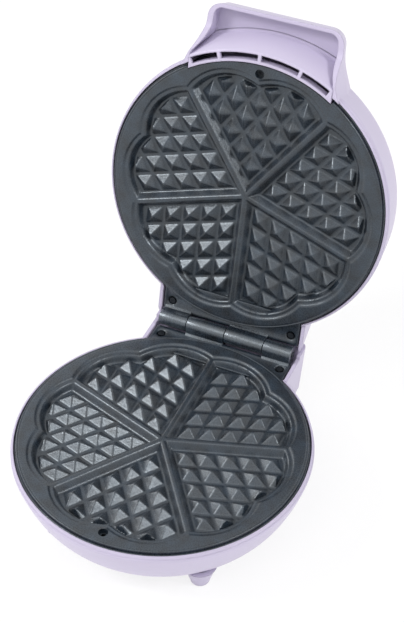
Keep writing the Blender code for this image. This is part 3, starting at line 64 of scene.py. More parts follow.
HEARTS = 5
HEART_HALF = math.pi / HEARTS      # the angle from a heart's axis to its divider
PLATE_RADIUS = 98.0
SHOULDER = 3.8                     # width of the bead and groove round the face
SKIRT_DEPTH, SKIRT_WALL = 11.0, 2.8
PLATE_BACK = -8.8
LEDGE_DEPTH, LEDGE_SLOPE, LEDGE_WIDTH = 1.1, 1.0, 2.7
LOBE_CENTRE, LOBE_RADIUS, LOBE_RUN = 51.4, 38.8, 2.2
DIVIDER_HALF, DIVIDER_RUN = 1.4, 3.4
FLOOR_DEPTH = 6.2
FIELD_RADIUS = 31.2                # the pyramids end here in a steep face, with a trough behind it
FIELD_STEEPNESS = 4.5
PYRAMID_HALF, PYRAMID_PITCH, PYRAMID_FIRST = 6.0, 14.07, 12.43
PYRAMID_HEIGHT, PYRAMID_ROWS = 5.2, 5
# how wide the casting's edges and creases are rounded
RIDGE_SQUARED, RIDGE_BLEND, FIELD_BLEND, FOOT_BLEND = 0.02, 0.3, 0.2, 0.25
LOBE_BLEND, DIVIDER_BLEND, LEDGE_BLEND, FLOWER_BLEND, FACE_BLEND = 1.0, 0.7, 0.9, 0.45, 0.5
CAST_EDGE, BEVELLED_EDGE = math.radians(50), math.radians(30)
SCREW_Y = 88.5
SCREW_WELL, SCREW_WELL_DEPTH = 3.2, 4.2
WELL_BAND, WELL_OUTSIDE, WELL_INSIDE, WELL_EDGE = 0.35, 0.3, -0.25, 0.2
VENT_CUT = (94.2, 49.95)           # the upper plate's rim ends at this radius over this half width
FACE_CELLS = 280                   # cells across a plate's face, about 0.67 mm each
# from the face out over the fine bead at its rim and down into the groove, as run and height
RIM_STEP = ((0.5, -0.05), (0.9, -0.3), (1.2, -0.32), (1.5, -0.1), (1.8, -0.02), (2.1, -0.14), (2.3, -0.5),
            (2.4, -1.2), (2.45, -2.4), (2.6, -2.8), (3.4, -2.9), (3.65, -3.2), (3.8, -4.0))


def soft_max(a, b, blend):
    """The larger of two heights, with a rounded crease where they meet."""
    gap = np.maximum(blend - np.abs(a - b), 0.0) / blend
    return np.maximum(a, b) + gap * gap * blend / 4


def soft_min(a, b, blend):
    return -soft_max(-a, -b, blend)


def face_height(x, y):
    """Height of the cooking face in millimetres, with every edge rounded as on a casting."""
    radius = np.hypot(x, y)
    # the heart whose wedge a point lies in, and the point turned so that its heart's axis is X
    turn = np.arctan2(y, x) + math.pi / 2
    index = np.round(turn / (2 * HEART_HALF))
    angle = turn - index * 2 * HEART_HALF
    along, signed = radius * np.cos(angle), radius * np.sin(angle)
    across = np.abs(signed)
    # distance out of the lobe, whose centre lies halfway between the heart's axis and its divider
    centre_x, centre_y = LOBE_CENTRE * math.cos(HEART_HALF / 2), LOBE_CENTRE * math.sin(HEART_HALF / 2)
    from_centre = np.hypot(along - centre_x, across - centre_y)
    outward = (along - centre_x) * math.cos(HEART_HALF / 2) + (across - centre_y) * math.sin(HEART_HALF / 2)
    lobe = np.where(outward > 0, from_centre, 0.0)
    # distance from the divider's middle line
    sine, cosine = math.sin(HEART_HALF), math.cos(HEART_HALF)
    side = along * sine - across * cosine
    drop = FLOOR_DEPTH - LEDGE_DEPTH
    divider = -LEDGE_DEPTH - (side - DIVIDER_HALF) * drop / DIVIDER_RUN
    lobe_wall = -LEDGE_DEPTH + (lobe - (LOBE_RADIUS - LEDGE_SLOPE - LEDGE_WIDTH)) * drop / LOBE_RUN
    floor = np.full_like(x, -FLOOR_DEPTH)
    # pyramids, in skewed coordinates along the heart's two dividers
    away = []
    for reach in ((along / cosine + signed / sine) / 2, (along / cosine - signed / sine) / 2):
        number = np.clip(np.round((reach - PYRAMID_FIRST) / PYRAMID_PITCH), 0, PYRAMID_ROWS - 1)
        away.append(np.sqrt((reach - PYRAMID_FIRST - number * PYRAMID_PITCH) ** 2 + RIDGE_SQUARED))
    pyramid = -FLOOR_DEPTH + PYRAMID_HEIGHT * (1 - soft_max(*away, RIDGE_BLEND) / PYRAMID_HALF)
    pyramid = soft_min(pyramid, -FLOOR_DEPTH + (FIELD_RADIUS - lobe) * FIELD_STEEPNESS, FIELD_BLEND)
    height = soft_max(floor, pyramid, FOOT_BLEND)
    height = soft_max(height, lobe_wall, LOBE_BLEND)
    height = soft_max(height, divider, DIVIDER_BLEND)
    height = soft_min(height, np.full_like(x, -LEDGE_DEPTH), LEDGE_BLEND)
    flower = -LEDGE_DEPTH + (lobe - (LOBE_RADIUS - LEDGE_SLOPE)) * LEDGE_DEPTH / LEDGE_SLOPE
    height = soft_max(height, flower, FLOWER_BLEND)
    return soft_min(height, np.zeros_like(x), FACE_BLEND)


def disc_grid(cells, radius):
    """Points of a square grid pressed into a disc, so that its cells stay about equal."""
    u, v = np.meshgrid(np.linspace(-1, 1, cells + 1), np.linspace(-1, 1, cells + 1), indexing="ij")
    wide = np.abs(u) > np.abs(v)
    reach = np.where(wide, u, v)
    ratio = np.where(wide, v, u) / np.where(reach == 0, 1, reach)
    turn = np.where(wide, math.pi / 4 * ratio, math.pi / 2 - math.pi / 4 * ratio)
    return radius * reach * np.cos(turn), radius * reach * np.sin(turn)


def plate_mesh(vent_cut):
    """A plate's face as a grid, with rings of faces from its edge down the rim and skirt to the flat back."""
    edge = PLATE_RADIUS - SHOULDER
    x, y = disc_grid(FACE_CELLS, edge)
    z = face_height(x, y)
    # the recess for the front screw's head: the points beside its edge and its wall are drawn onto them
    from_screw = np.hypot(x, y + SCREW_Y)
    for reach, beside in ((SCREW_WELL, WELL_OUTSIDE), (SCREW_WELL - WELL_BAND, WELL_INSIDE)):
        ring = np.abs(from_screw - reach - beside) < WELL_BAND
        shrink = np.where(ring, reach / np.maximum(from_screw, 0.01), 1.0)
        x, y = x * shrink, (y + SCREW_Y) * shrink - SCREW_Y
        from_screw = np.hypot(x, y + SCREW_Y)
    z = np.where(from_screw < SCREW_WELL - WELL_EDGE, -SCREW_WELL_DEPTH, z)
    count = FACE_CELLS + 1
    points = [np.stack([x.ravel(), y.ravel(), z.ravel()], axis=1)]
    ids = np.arange(count * count).reshape(count, count)
    quads = [np.stack([ids[:-1, :-1], ids[1:, :-1], ids[1:, 1:], ids[:-1, 1:]], axis=-1).reshape(-1, 4)]
    rim = np.concatenate([ids[:-1, 0], ids[-1, :-1], ids[:0:-1, -1], ids[0, :0:-1]])
    skirt = PLATE_RADIUS - SKIRT_WALL
    profile = [(edge + run, height) for run, height in RIM_STEP]
    profile += [(PLATE_RADIUS, -SKIRT_DEPTH), (skirt, -SKIRT_DEPTH), (skirt, PLATE_BACK)]
    direction = np.stack([x.ravel()[rim], y.ravel()[rim]], axis=1) / edge
    cut_off = vent_cut & (direction[:, 1] < 0) & (np.abs(direction[:, 0]) * VENT_CUT[0] < VENT_CUT[1])
    last, total = rim, count * count
    for radius, height in profile:
        limit = VENT_CUT[0] - (SKIRT_WALL if radius == skirt else 0.0)
        reach = np.where(cut_off, min(radius, limit), radius)[:, None]
        points.append(np.concatenate([direction * reach, np.full((len(rim), 1), height)], axis=1))
        here = np.arange(total, total + len(rim))
        quads.append(np.stack([last, here, np.roll(here, -1), np.roll(last, -1)], axis=1))
        last, total = here, total + len(rim)
    faces = np.concatenate(quads).tolist() + [last[::-1].tolist()]
    mesh = bpy.data.meshes.new("waffle_plate")
    mesh.from_pydata((np.concatenate(points) * MM).tolist(), [], faces)
    return mesh


def cross_profile_mesh(name, outline, start, end, bevel):
    """A bar along X with an outline given as (y, z), its edges rounded."""
    shape = bmesh.new()
    rings = [[shape.verts.new((x * MM, y * MM, z * MM)) for y, z in outline] for x in (start, end)]
    for i in range(len(outline)):
        shape.faces.new((rings[0][i - 1], rings[0][i], rings[1][i], rings[1][i - 1]))
    shape.faces.new(rings[0])
    shape.faces.new(rings[1])
    bmesh.ops.recalc_face_normals(shape, faces=shape.faces)
    edges = [edge for edge in shape.edges if edge.calc_face_angle(0.0) > BEVELLED_EDGE]
    bmesh.ops.bevel(shape, geom=edges, offset=bevel * MM, segments=3, affect='EDGES', profile=0.5)
    mesh = bpy.data.meshes.new(name)
    shape.to_mesh(mesh)
    shape.free()
    return mesh


def solid(name, shape):
    """An object from a bmesh drawn in millimetres, its faces turned outward."""
    bmesh.ops.remove_doubles(shape, verts=shape.verts, dist=0.001)
    bmesh.ops.recalc_face_normals(shape, faces=shape.faces)
    bmesh.ops.scale(shape, vec=(MM, MM, MM), verts=shape.verts)
    mesh = bpy.data.meshes.new(name)
    shape.to_mesh(mesh)
    shape.free()
    made = bpy.data.objects.new(name, mesh)
    bpy.context.scene.collection.objects.link(made)
    return made


ROUND_STEPS = 128


def lathe(name, profile, steps=ROUND_STEPS, closed=False, at=(0.0, 0.0, 0.0), turn=None):
    """A turned solid: its profile (radius, height) goes round Z and is then turned and moved into place."""
    shape = bmesh.new()
    where = Matrix.Translation(at) @ (turn or Matrix.Identity(4))
    points = [shape.verts.new((radius, 0.0, height)) for radius, height in profile]
    edges = [shape.edges.new(pair) for pair in zip(points, points[1:])]
    if closed:
        edges.append(shape.edges.new((points[-1], points[0])))
    bmesh.ops.spin(shape, geom=points + edges, cent=(0, 0, 0), axis=(0, 0, 1), angle=2 * math.pi, steps=steps,
                   use_merge=True)
    bmesh.ops.transform(shape, matrix=where, verts=shape.verts)
    return solid(name, shape)


def combine(target, operation, *tools):
    """Shape a solid with others and clear them away."""
    for tool in tools:
        modifier = target.modifiers.new(tool.name, 'BOOLEAN')
        modifier.operation = operation
        modifier.object = tool
        bpy.context.view_layer.update()
        mesh = bpy.data.meshes.new_from_object(target.evaluated_get(bpy.context.evaluated_depsgraph_get()))
        target.modifiers.clear()
        target.data = mesh
        bpy.data.objects.remove(tool, do_unlink=True)
    return target


SINK = 0.4                         # pieces of one moulding run this far into each other
CUT_PAST = 3.0                     # and a cut runs this far past the face that it opens
HOLE_STEPS = 40
FLANGE_HALF, FLANGE_START, FLANGE_END = 51.0, 80.0, 102.4
FLANGE_TOP, FLANGE_WALL, FLANGE_EDGE = -4.0, 4.0, 0.6
REAR_SCREWS = ((-45.0, 95.5), (45.0, 95.5))
RECESS_TOP, RECESS_DEPTH, SHANK_HOLE, SHANK_DEPTH = 1.0, 2.8, 1.9, 6.0
CHAMFER, CHAMFER_TOP, CHAMFER_DEPTH = 1.3, 0.05, 0.9
KNUCKLE_RADIUS, KNUCKLE_FOOT, KNUCKLE_GAP, KNUCKLE_STEPS = 5.75, 2.4, 0.4, 40
KNUCKLE_ENDS = (-29.0, 0.0, 29.0, 50.0)
WEB_RISE, WEB_RUN, KNUCKLE_EDGE = 1.5, 1.9, 0.35


def hinge_edge_meshes():
    """The cast flange behind a plate, with the recesses for its two screws, and its two knuckles."""
    foot = FLANGE_TOP - FLANGE_WALL
    flange = [(FLANGE_START, foot), (FLANGE_END, foot), (FLANGE_END, FLANGE_TOP), (FLANGE_START, FLANGE_TOP)]
    mesh = cross_profile_mesh("flange", flange, -FLANGE_HALF, FLANGE_HALF, FLANGE_EDGE)
    bar = bpy.data.objects.new("flange", mesh)
    bpy.context.scene.collection.objects.link(bar)
    floor, end = FLANGE_TOP - RECESS_DEPTH, FLANGE_TOP - SHANK_DEPTH
    recess = [(0.0, RECESS_TOP), (SCREW_WELL + CHAMFER, RECESS_TOP),
              (SCREW_WELL + CHAMFER, FLANGE_TOP + CHAMFER_TOP), (SCREW_WELL, FLANGE_TOP - CHAMFER_DEPTH),
              (SCREW_WELL, floor), (SHANK_HOLE, floor), (SHANK_HOLE, end), (0.0, end)]
    for x, y in REAR_SCREWS:
        combine(bar, 'DIFFERENCE', lathe("recess", recess, HOLE_STEPS, at=(x, y, 0.0)))
    meshes = [bar.data]
    bpy.data.objects.remove(bar, do_unlink=True)
    first = -math.acos(KNUCKLE_FOOT / KNUCKLE_RADIUS)
    turns = [first + (math.pi - first) * k / KNUCKLE_STEPS for k in range(KNUCKLE_STEPS + 1)]
    eye = [(HINGE_Y + KNUCKLE_RADIUS * math.cos(t), HINGE_Z + KNUCKLE_RADIUS * math.sin(t)) for t in turns]
    front = HINGE_Y - KNUCKLE_RADIUS
    outline = eye + [(front, FLANGE_TOP + WEB_RISE), (front - WEB_RUN, FLANGE_TOP - SINK),
                     (front - WEB_RUN, foot), (HINGE_Y + KNUCKLE_FOOT, foot)]
    # the other plate's knuckles hold the pin between these two and to the left of them
    for number in (0, 2):
        start, end = KNUCKLE_ENDS[number] + KNUCKLE_GAP / 2, KNUCKLE_ENDS[number + 1] - KNUCKLE_GAP / 2
        knuckle = cross_profile_mesh("knuckle", outline, start, end, KNUCKLE_EDGE)
        knuckle.polygons.foreach_set("material_index", [1] * len(knuckle.polygons))
        meshes.append(knuckle)
    return meshes


def joined_mesh(name, meshes):
    """One mesh from several, shaded smooth but for its edges."""
    shape = bmesh.new()
    for mesh in meshes:
        shape.from_mesh(mesh)
    whole = bpy.data.meshes.new(name)
    shape.to_mesh(whole)
    shape.free()
    whole.shade_smooth()
    whole.set_sharp_from_angle(angle=CAST_EDGE)
    return whole


def add_node(tree, kind, settings=None, **links):
    """Add a node, with its properties and unlinked sockets set and its other sockets linked."""
    made = tree.nodes.new(kind)
    for key, value in (settings or {}).items():
        if key in made.inputs:
            made.inputs[key].default_value = value
        else:
            setattr(made, key, value)
    for key, source in links.items():
        socket = next(s for s in made.inputs if s.name.replace(" ", "_").lower() == key and not s.is_linked)
        tree.links.new(source, socket)
    return made


def colour(code):
    """An sRGB hex colour as linear RGBA."""
    parts = [int(code[i:i + 2], 16) / 255 for i in (1, 3, 5)]
    return (*[p / 12.92 if p <= 0.04045 else ((p + 0.055) / 1.055) ** 2.4 for p in parts], 1.0)


def scale_for(size):
    """Noise scale for a pattern whose features are this many millimetres wide."""
    return 1 / (size * MM)


def blank_material(name, **sockets):
    """A Principled material with its sockets set, and its tree and shader at hand."""
    material = bpy.data.materials.new(name)
    material.use_nodes = True
    tree = material.node_tree
    shader = tree.nodes["Principled BSDF"]
    for key, value in sockets.items():
        shader.inputs[key.replace("_", " ")].default_value = value
    return material, tree, shader


COAT_DARK, COAT_LIGHT, COAT_GLINT = "#090E15", "#1E2A36", "#E2EDF6"
STAIN_SIZE, STAIN_FROM, STAIN_TO = 11.11, 0.35, 0.7
FLECK_SIZE = 1.0                   # the real grain, about 0.1 mm, is too fine to show and is drawn coarser
FLECK_DEPTH = 0.15


def nonstick_coat(name, ior):
    """PTFE coat baked on cast aluminium: blue-grey, almost black, with faint stains. Each facet mirrors the
    lamps in a satin glint, and the rough upper coat spreads a fainter one wider. PTFE alone has an IOR of
    1.35; the higher one stands for the metal close under the thin coat."""
    material, tree, shader = blank_material(name, IOR=ior, Specular_Tint=colour(COAT_GLINT), Coat_Weight=1.0,
                                            Coat_IOR=1.4, Coat_Roughness=0.5)
    place = add_node(tree, "ShaderNodeTexCoord").outputs["Object"]
    stain = add_node(tree, "ShaderNodeTexNoise", {"Scale": scale_for(STAIN_SIZE), "Detail": 4.0,
                                                  "Roughness": 0.65}, vector=place)
    tone = add_node(tree, "ShaderNodeValToRGB", fac=stain.outputs["Fac"])
    dark, light = tone.color_ramp.elements
    dark.position, light.position = STAIN_FROM, STAIN_TO
    dark.color, light.color = colour(COAT_DARK), colour(COAT_LIGHT)
    tree.links.new(tone.outputs["Color"], shader.inputs["Base Color"])
    fleck = add_node(tree, "ShaderNodeTexNoise", {"Scale": scale_for(FLECK_SIZE), "Detail": 2.0},
                     vector=place)
    rough = add_node(tree, "ShaderNodeMapRange", {"From Min": 0.3, "From Max": 0.7, "To Min": 0.22,
                                                  "To Max": 0.34}, value=fleck.outputs["Fac"])
    tree.links.new(rough.outputs["Result"], shader.inputs["Roughness"])
    bump = add_node(tree, "ShaderNodeBump", {"Strength": 0.7, "Distance": FLECK_DEPTH * MM},
                    height=fleck.outputs["Fac"])
    tree.links.new(bump.outputs["Normal"], shader.inputs["Normal"])
    return material


def put(name, mesh, materials, half, body, node):
    """Place a finished mesh in its half, give it its materials, tie it to its body and hide the CAD node that
    it stands in for.
    """
    piece = bpy.data.objects.new(name, mesh)
    bpy.context.scene.collection.objects.link(piece)
    for material in materials:
        mesh.materials.append(material)
    mesh.transform(half)
    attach(piece, body)
    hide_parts(node)


NONSTICK = nonstick_coat("ptfe_coated_cast_aluminium", 1.62)
# the knuckles are turned before they are coated, so they shine more
TURNED = nonstick_coat("ptfe_coated_turned_aluminium", 2.05)

for prefix, half, body in (("lower", BASE_AT, "base"), ("upper", LID_AT, "lid")):
    casting = joined_mesh(f"{prefix}_waffle_plate", [plate_mesh(prefix == "upper")] + hinge_edge_meshes())
    put(f"{prefix}_waffle_plate", casting, (NONSTICK, TURNED), half, body, f"{prefix}_plate")


# Heating elements and reflectors
# A steel tube with a heating wire in packed magnesia lies round each plate's back, and a pressed reflector of
# aluminised sheet steel, held by three zinc-plated screws, clamps it there. They are the CAD solids, dressed.

MOTTLE_FROM, MOTTLE_TO = 0.3, 0.7


def steel(name, code, low, high, size):
    """Bare, plated or blackened steel: a grey shine that is uneven over marks of the given size."""
    material, tree, shader = blank_material(name, Metallic=1.0, Base_Color=colour(code))
    place = add_node(tree, "ShaderNodeTexCoord").outputs["Object"]
    mottle = add_node(tree, "ShaderNodeTexNoise", {"Scale": scale_for(size), "Detail": 3.0}, vector=place)
    rough = add_node(tree, "ShaderNodeMapRange", {"From Min": MOTTLE_FROM, "From Max": MOTTLE_TO,
                                                  "To Min": low, "To Max": high},
                     value=mottle.outputs["Fac"])
    tree.links.new(rough.outputs["Result"], shader.inputs["Roughness"])
    return material


def dress(material, *names):
    """Give CAD solids that are carried over their material."""
    for name in names:
        for slot in frame["nodes"][name].material_slots:
            slot.material = material


# a dull brown-grey, mottled by its heat
SHEATH = steel("annealed_element_sheath", "#6B6560", 0.4, 0.6, 5.0)
# pale, with broad soft marks from the rolls
SHEET_STEEL = steel("aluminised_sheet_steel", "#C9CBCD", 0.3, 0.5, 8.33)
# mid grey, with a fine uneven shine
ZINC_STEEL = steel("zinc_plated_steel", "#9A9B9D", 0.25, 0.42, 2.5)

dress(SHEATH, "lower_element", "upper_element")
dress(SHEET_STEEL, "lower_reflector", "upper_reflector")
dress(ZINC_STEEL, *[f"{half}_reflector_screw_{place}" for half in ("lower", "upper")
                    for place in ("front", "left", "right")])


# Thermostat and thermal fuse
# A disc thermostat in a glazed steatite body is pressed on the lower plate by a zinc-plated bracket with two
# screws. The ceramic fuse beside it is held to the reflector by a bent clip.


def insulator(name, code, other, roughness, size, depth):
    """Glazed ceramic, rubber, glass or woven sleeving: two close tones over a fine bump of the same size."""
    material, tree, shader = blank_material(name, Roughness=roughness)
    place = add_node(tree, "ShaderNodeTexCoord").outputs["Object"]
    mottle = add_node(tree, "ShaderNodeTexNoise", {"Scale": scale_for(size), "Detail": 3.0}, vector=place)
    tone = add_node(tree, "ShaderNodeValToRGB", fac=mottle.outputs["Fac"])
    dark, light = tone.color_ramp.elements
    dark.color, light.color = colour(code), colour(other)
    tree.links.new(tone.outputs["Color"], shader.inputs["Base Color"])
    bump = add_node(tree, "ShaderNodeBump", {"Strength": 0.3, "Distance": depth * MM},
                    height=mottle.outputs["Fac"])
    tree.links.new(bump.outputs["Normal"], shader.inputs["Normal"])
    return material


# off-white with a soft gloss
CERAMIC = insulator("glazed_steatite", "#E6E1D8", "#DCD6CB", 0.3, 4.0, 0.05)

dress(CERAMIC, "thermostat", "thermal_fuse")
dress(ZINC_STEEL, "thermostat_bracket", "thermostat_screw_left", "thermostat_screw_right", "fuse_clip")


# Base shell
# The lower moulding of lavender polypropylene: a bowl with a housing behind it for the hinge and the cord,
# a deck under the plate's flange and four hollow feet. The plate drops into its well and is screwed to its
# posts.

LIP_HEIGHT, LIP_RADIUS, SHELL_WALL = -2.0, 99.6, 2.4
MOULDED_EDGE = math.radians(38)
# the rounded lip and the fine line moulded under it, as run and height from the lip's corner
LIP_STEP = ((-0.5, 0.0), (-0.15, -0.1), (0.0, -0.45), (0.0, -2.2), (0.5, -2.4))
WELL_RADIUS, WELL_DEPTH, CHAMBER_BELOW = 98.35, 11.3, 0.5
BASE_DEPTH = 41.5
# radius and height, from the belly down to the flat underside
BASE_SIDE = ((100.4, -5.8), (97.8, -14.5), (93.8, -24.9), (89.3, -33.0), (84.0, -39.4), (78.3, -41.5))
HOUSING_HALF, HOUSING_START, HOUSING_END, HOUSING_CORNER = 54.8, 58.0, 123.6, 5.0
HOUSING_WALL, HOUSING_DRAFT, HOUSING_TOP = 2.6, 3.0, -3.5
CHEEK_CUT_HALF, CHEEK_CUT_START = 60.0, 50.0
REAR_TOP, REAR_RISE_Y = -1.3, 108.5
DECK_TOP, DECK_WALL = -8.3, 2.5
FEET = [(side * x, y) for side in (-1, 1) for x, y in ((52.3, -57.0), (40.0, 102.0))]
FOOT_SIDE = ((11.1, -40.3), (9.6, -42.6), (8.9, -46.0), (6.7, -53.4))
FOOT_HEIGHT, FOOT_TIP, FOOT_ROUNDING, FOOT_CORE, FOOT_WALL, FOOT_STEPS = 56.0, 4.8, 1.7, 7.0, 2.6, 48
POST_RADIUS, POST_STEPS, PILOT_RADIUS, PILOT_STEPS = 4.0, 32, 1.9, 24
BASE_PILOT_END = -20.0
VENTS, VENT_PITCH, VENT_HALF, VENT_REACH, VENT_ROUNDING, VENT_STEPS = 5, 9.0, 1.5, 13.0, 1.45, 4
GLAND_Z, GLAND_HOLE, GLAND_REACH, GLAND_STEPS = -27.0, 5.95, 6.0, 48


def loft(name, levels, turn=None):
    """A closed solid through outlines of as many points each, given as (outline, height)."""
    shape = bmesh.new()
    rings = [[shape.verts.new((x, y, height)) for x, y in outline] for outline, height in levels]
    for lower, upper in zip(rings, rings[1:]):
        for i in range(len(lower)):
            shape.faces.new((lower[i - 1], lower[i], upper[i], upper[i - 1]))
    shape.faces.new(rings[0])
    shape.faces.new(rings[-1])
    if turn:
        bmesh.ops.transform(shape, matrix=turn, verts=shape.verts)
    return solid(name, shape)


def rod(name, radius, top, bottom, steps, at=(0.0, 0.0, 0.0), turn=None):
    """A plain cylinder, for a post or a hole."""
    return lathe(name, [(0.0, top), (radius, top), (radius, bottom), (0.0, bottom)], steps, at=at, turn=turn)


def rectangle(low, high):
    """The four corners of a rectangle seen from above, from its low corner round."""
    return [(low[0], low[1]), (high[0], low[1]), (high[0], high[1]), (low[0], high[1])]


def block(name, low, high):
    return loft(name, [(rectangle(low, high), low[2]), (rectangle(low, high), high[2])])


def rounded(corners, steps=8):
    """A closed outline through the corners ((x, y), radius), each rounded by its own radius."""
    outline = []
    for i, (corner, radius) in enumerate(corners):
        corner = Vector(corner)
        if radius == 0.0:
            outline.append(corner)
            continue
        back = (Vector(corners[i - 1][0]) - corner).normalized()
        ahead = (Vector(corners[(i + 1) % len(corners)][0]) - corner).normalized()
        half = back.angle(ahead) / 2
        centre = corner + (back + ahead).normalized() * (radius / math.sin(half))
        start = corner + back * (radius / math.tan(half)) - centre
        sweep = start.angle_signed(corner + ahead * (radius / math.tan(half)) - centre)
        outline += [centre + Matrix.Rotation(-sweep * k / steps, 2) @ start for k in range(steps + 1)]
    return outline


def stepped(radius, height, steps):
    """Points of a profile, given as run and rise from one corner."""
    return [(radius + run, height + rise) for run, rise in steps]


def smooth_run(points, steps=5):
    """A smooth curve through points in the plane, drawn as a Catmull-Rom spline."""
    points = [Vector(point) for point in points]
    ends = [2 * points[0] - points[1]] + points + [2 * points[-1] - points[-2]]
    run = []
    for a, b, c, d in zip(ends, ends[1:], ends[2:], ends[3:]):
        for k in range(steps):
            t = k / steps
            run.append((2 * b + (c - a) * t + (2 * a - 5 * b + 4 * c - d) * t ** 2
                        + (3 * b - a - 3 * c + d) * t ** 3) / 2)
    return [tuple(point) for point in run + [points[-1]]]


def bowl_side(side):
    """A bowl's outer side from its lip down."""
    return stepped(LIP_RADIUS, LIP_HEIGHT, LIP_STEP) + smooth_run(side)


def offset(profile, wall):
    """The inner side of a wall whose outer side is drawn from the lip down to the axis."""
    points = [Vector(point) for point in profile]
    inner = []
    for before, point, after in zip([points[0]] + points, points, points[1:] + [points[-1]]):
        along = after - before
        inner.append(point + Vector((along.y, -along.x)).normalized() * wall)
    return [tuple(point) for point in inner]


def well_and_chamber(name, side, depth):
    """What is taken out of a bowl: the well for the plate, and the chamber under it."""
    inner = []
    for x, z in offset(side + [(0.0, -depth)], SHELL_WALL):
        # a tight bend folds the offset line over itself, so points that run back are left out
        if z < -WELL_DEPTH - CHAMBER_BELOW and (not inner or (x <= inner[-1][0] and z <= inner[-1][1])):
            inner.append((x, z))
    well = rod(f"{name}_well", WELL_RADIUS, CUT_PAST, -WELL_DEPTH, ROUND_STEPS)
    top = -WELL_DEPTH + SINK
    chamber = [(0.0, top), (inner[0][0], top)] + inner[:-1] + [(0.0, -depth + SHELL_WALL)]
    return well, lathe(f"{name}_chamber", chamber, ROUND_STEPS * 3 // 4)


def housing_levels(inset, end, lean, low, *heights):
    """A rear housing drawn in by an inset: its outline at its low end, where it leans in, and above that."""
    half, end, corner = HOUSING_HALF - inset, end - inset, HOUSING_CORNER - inset
    bends = (0.0, 0.0, corner, corner)
    places = [(half - HOUSING_DRAFT, end - lean, low)] + [(half, end, height) for height in heights]
    levels = []
    for wide, back, height in places:
        corners = rectangle((-wide, HOUSING_START), (wide, back))
        levels.append((rounded(list(zip(corners, bends))), height))
    return levels


def add_posts(shell, top, end, pilot_end):
    """The posts that the plate's rear screws bite into, with their pilot holes."""
    for x, y in REAR_SCREWS:
        place = (x, y, 0.0)
        combine(shell, 'UNION', rod("post", POST_RADIUS, top, end, POST_STEPS, at=place))
        combine(shell, 'DIFFERENCE', rod("pilot", PILOT_RADIUS, CUT_PAST, pilot_end, PILOT_STEPS, at=place))


def finished_mesh(made):
    """Take a solid's mesh out of the scene, shaded smooth but for its edges."""
    mesh = made.data
    bpy.data.objects.remove(made, do_unlink=True)
    mesh.shade_smooth()
    mesh.set_sharp_from_angle(angle=MOULDED_EDGE)
    return mesh


def base_shell_mesh():
    side = bowl_side(BASE_SIDE)
    shell = lathe("base_bowl", [(0.0, LIP_HEIGHT)] + side + [(0.0, -BASE_DEPTH)])
    outside = housing_levels(0.0, HOUSING_END, 0.0, -BASE_DEPTH + SINK, HOUSING_TOP, REAR_TOP)
    housing = loft("base_housing", outside)
    combine(housing, 'DIFFERENCE', block("cheek_trim", (-CHEEK_CUT_HALF, CHEEK_CUT_START, HOUSING_TOP),
                                         (CHEEK_CUT_HALF, REAR_RISE_Y, CUT_PAST)))
    combine(shell, 'UNION', housing)
    turns = [math.radians(degrees) for degrees in range(75, 0, -15)]
    foot = [(0.0, FOOT_SIDE[0][1]), *FOOT_SIDE]
    foot += [(FOOT_TIP + FOOT_ROUNDING * math.sin(t), -FOOT_HEIGHT + FOOT_ROUNDING * (1 - math.cos(t)))
             for t in turns]
    foot += [(FOOT_TIP, -FOOT_HEIGHT), (0.0, -FOOT_HEIGHT)]
    for x, y in FEET:
        combine(shell, 'UNION', lathe("foot", foot, FOOT_STEPS, at=(x, y, 0.0)))
    floor = -BASE_DEPTH + SHELL_WALL
    inside = housing_levels(HOUSING_WALL, HOUSING_END, 0.0, floor, HOUSING_TOP, CUT_PAST)
    combine(shell, 'DIFFERENCE', loft("base_housing_core", inside))
    inner_half, inner_end = HOUSING_HALF - HOUSING_WALL + SINK, HOUSING_END - HOUSING_WALL + SINK
    combine(shell, 'UNION', block("deck", (-inner_half, FLANGE_START, DECK_TOP - DECK_WALL),
                                  (inner_half, inner_end, DECK_TOP)))
    combine(shell, 'DIFFERENCE', *well_and_chamber("base", side, BASE_DEPTH))
    add_posts(shell, DECK_TOP - SINK, floor - SINK, BASE_PILOT_END)
    tip = -FOOT_HEIGHT + FOOT_WALL
    core = [(0.0, floor + CUT_PAST), (FOOT_CORE, floor + CUT_PAST), (FOOT_CORE, floor), (FOOT_TIP, tip),
            (0.0, tip)]
    for x, y in FEET:
        combine(shell, 'DIFFERENCE', lathe("foot_core", core, PILOT_STEPS, at=(x, y, 0.0)))
    for number in range(VENTS):
        x = (number - VENTS // 2) * VENT_PITCH
        corners = rectangle((x - VENT_HALF, -VENT_REACH), (x + VENT_HALF, VENT_REACH))
        slot = rounded([(corner, VENT_ROUNDING) for corner in corners], VENT_STEPS)
        combine(shell, 'DIFFERENCE', loft("vent", [(slot, -BASE_DEPTH - CUT_PAST), (slot, floor + CUT_PAST)]))
    lying = Matrix.Rotation(math.pi / 2, 4, 'X')
    combine(shell, 'DIFFERENCE', rod("gland_hole", GLAND_HOLE, GLAND_REACH, -GLAND_REACH, GLAND_STEPS,
                                     at=(0.0, HOUSING_END, GLAND_Z), turn=lying))
    return finished_mesh(shell)


PLASTIC_DARK, PLASTIC_LIGHT = "#BBB3CA", "#C0B8CF"
CLOUD_SIZE = 55.56                 # the slow change of tone where the melt flowed
GRAIN_SIZE, GRAIN_DEPTH = 0.714, 0.05    # the mould's fine grain, drawn coarser so that it shows
EDGE_RADIUS = 1.2


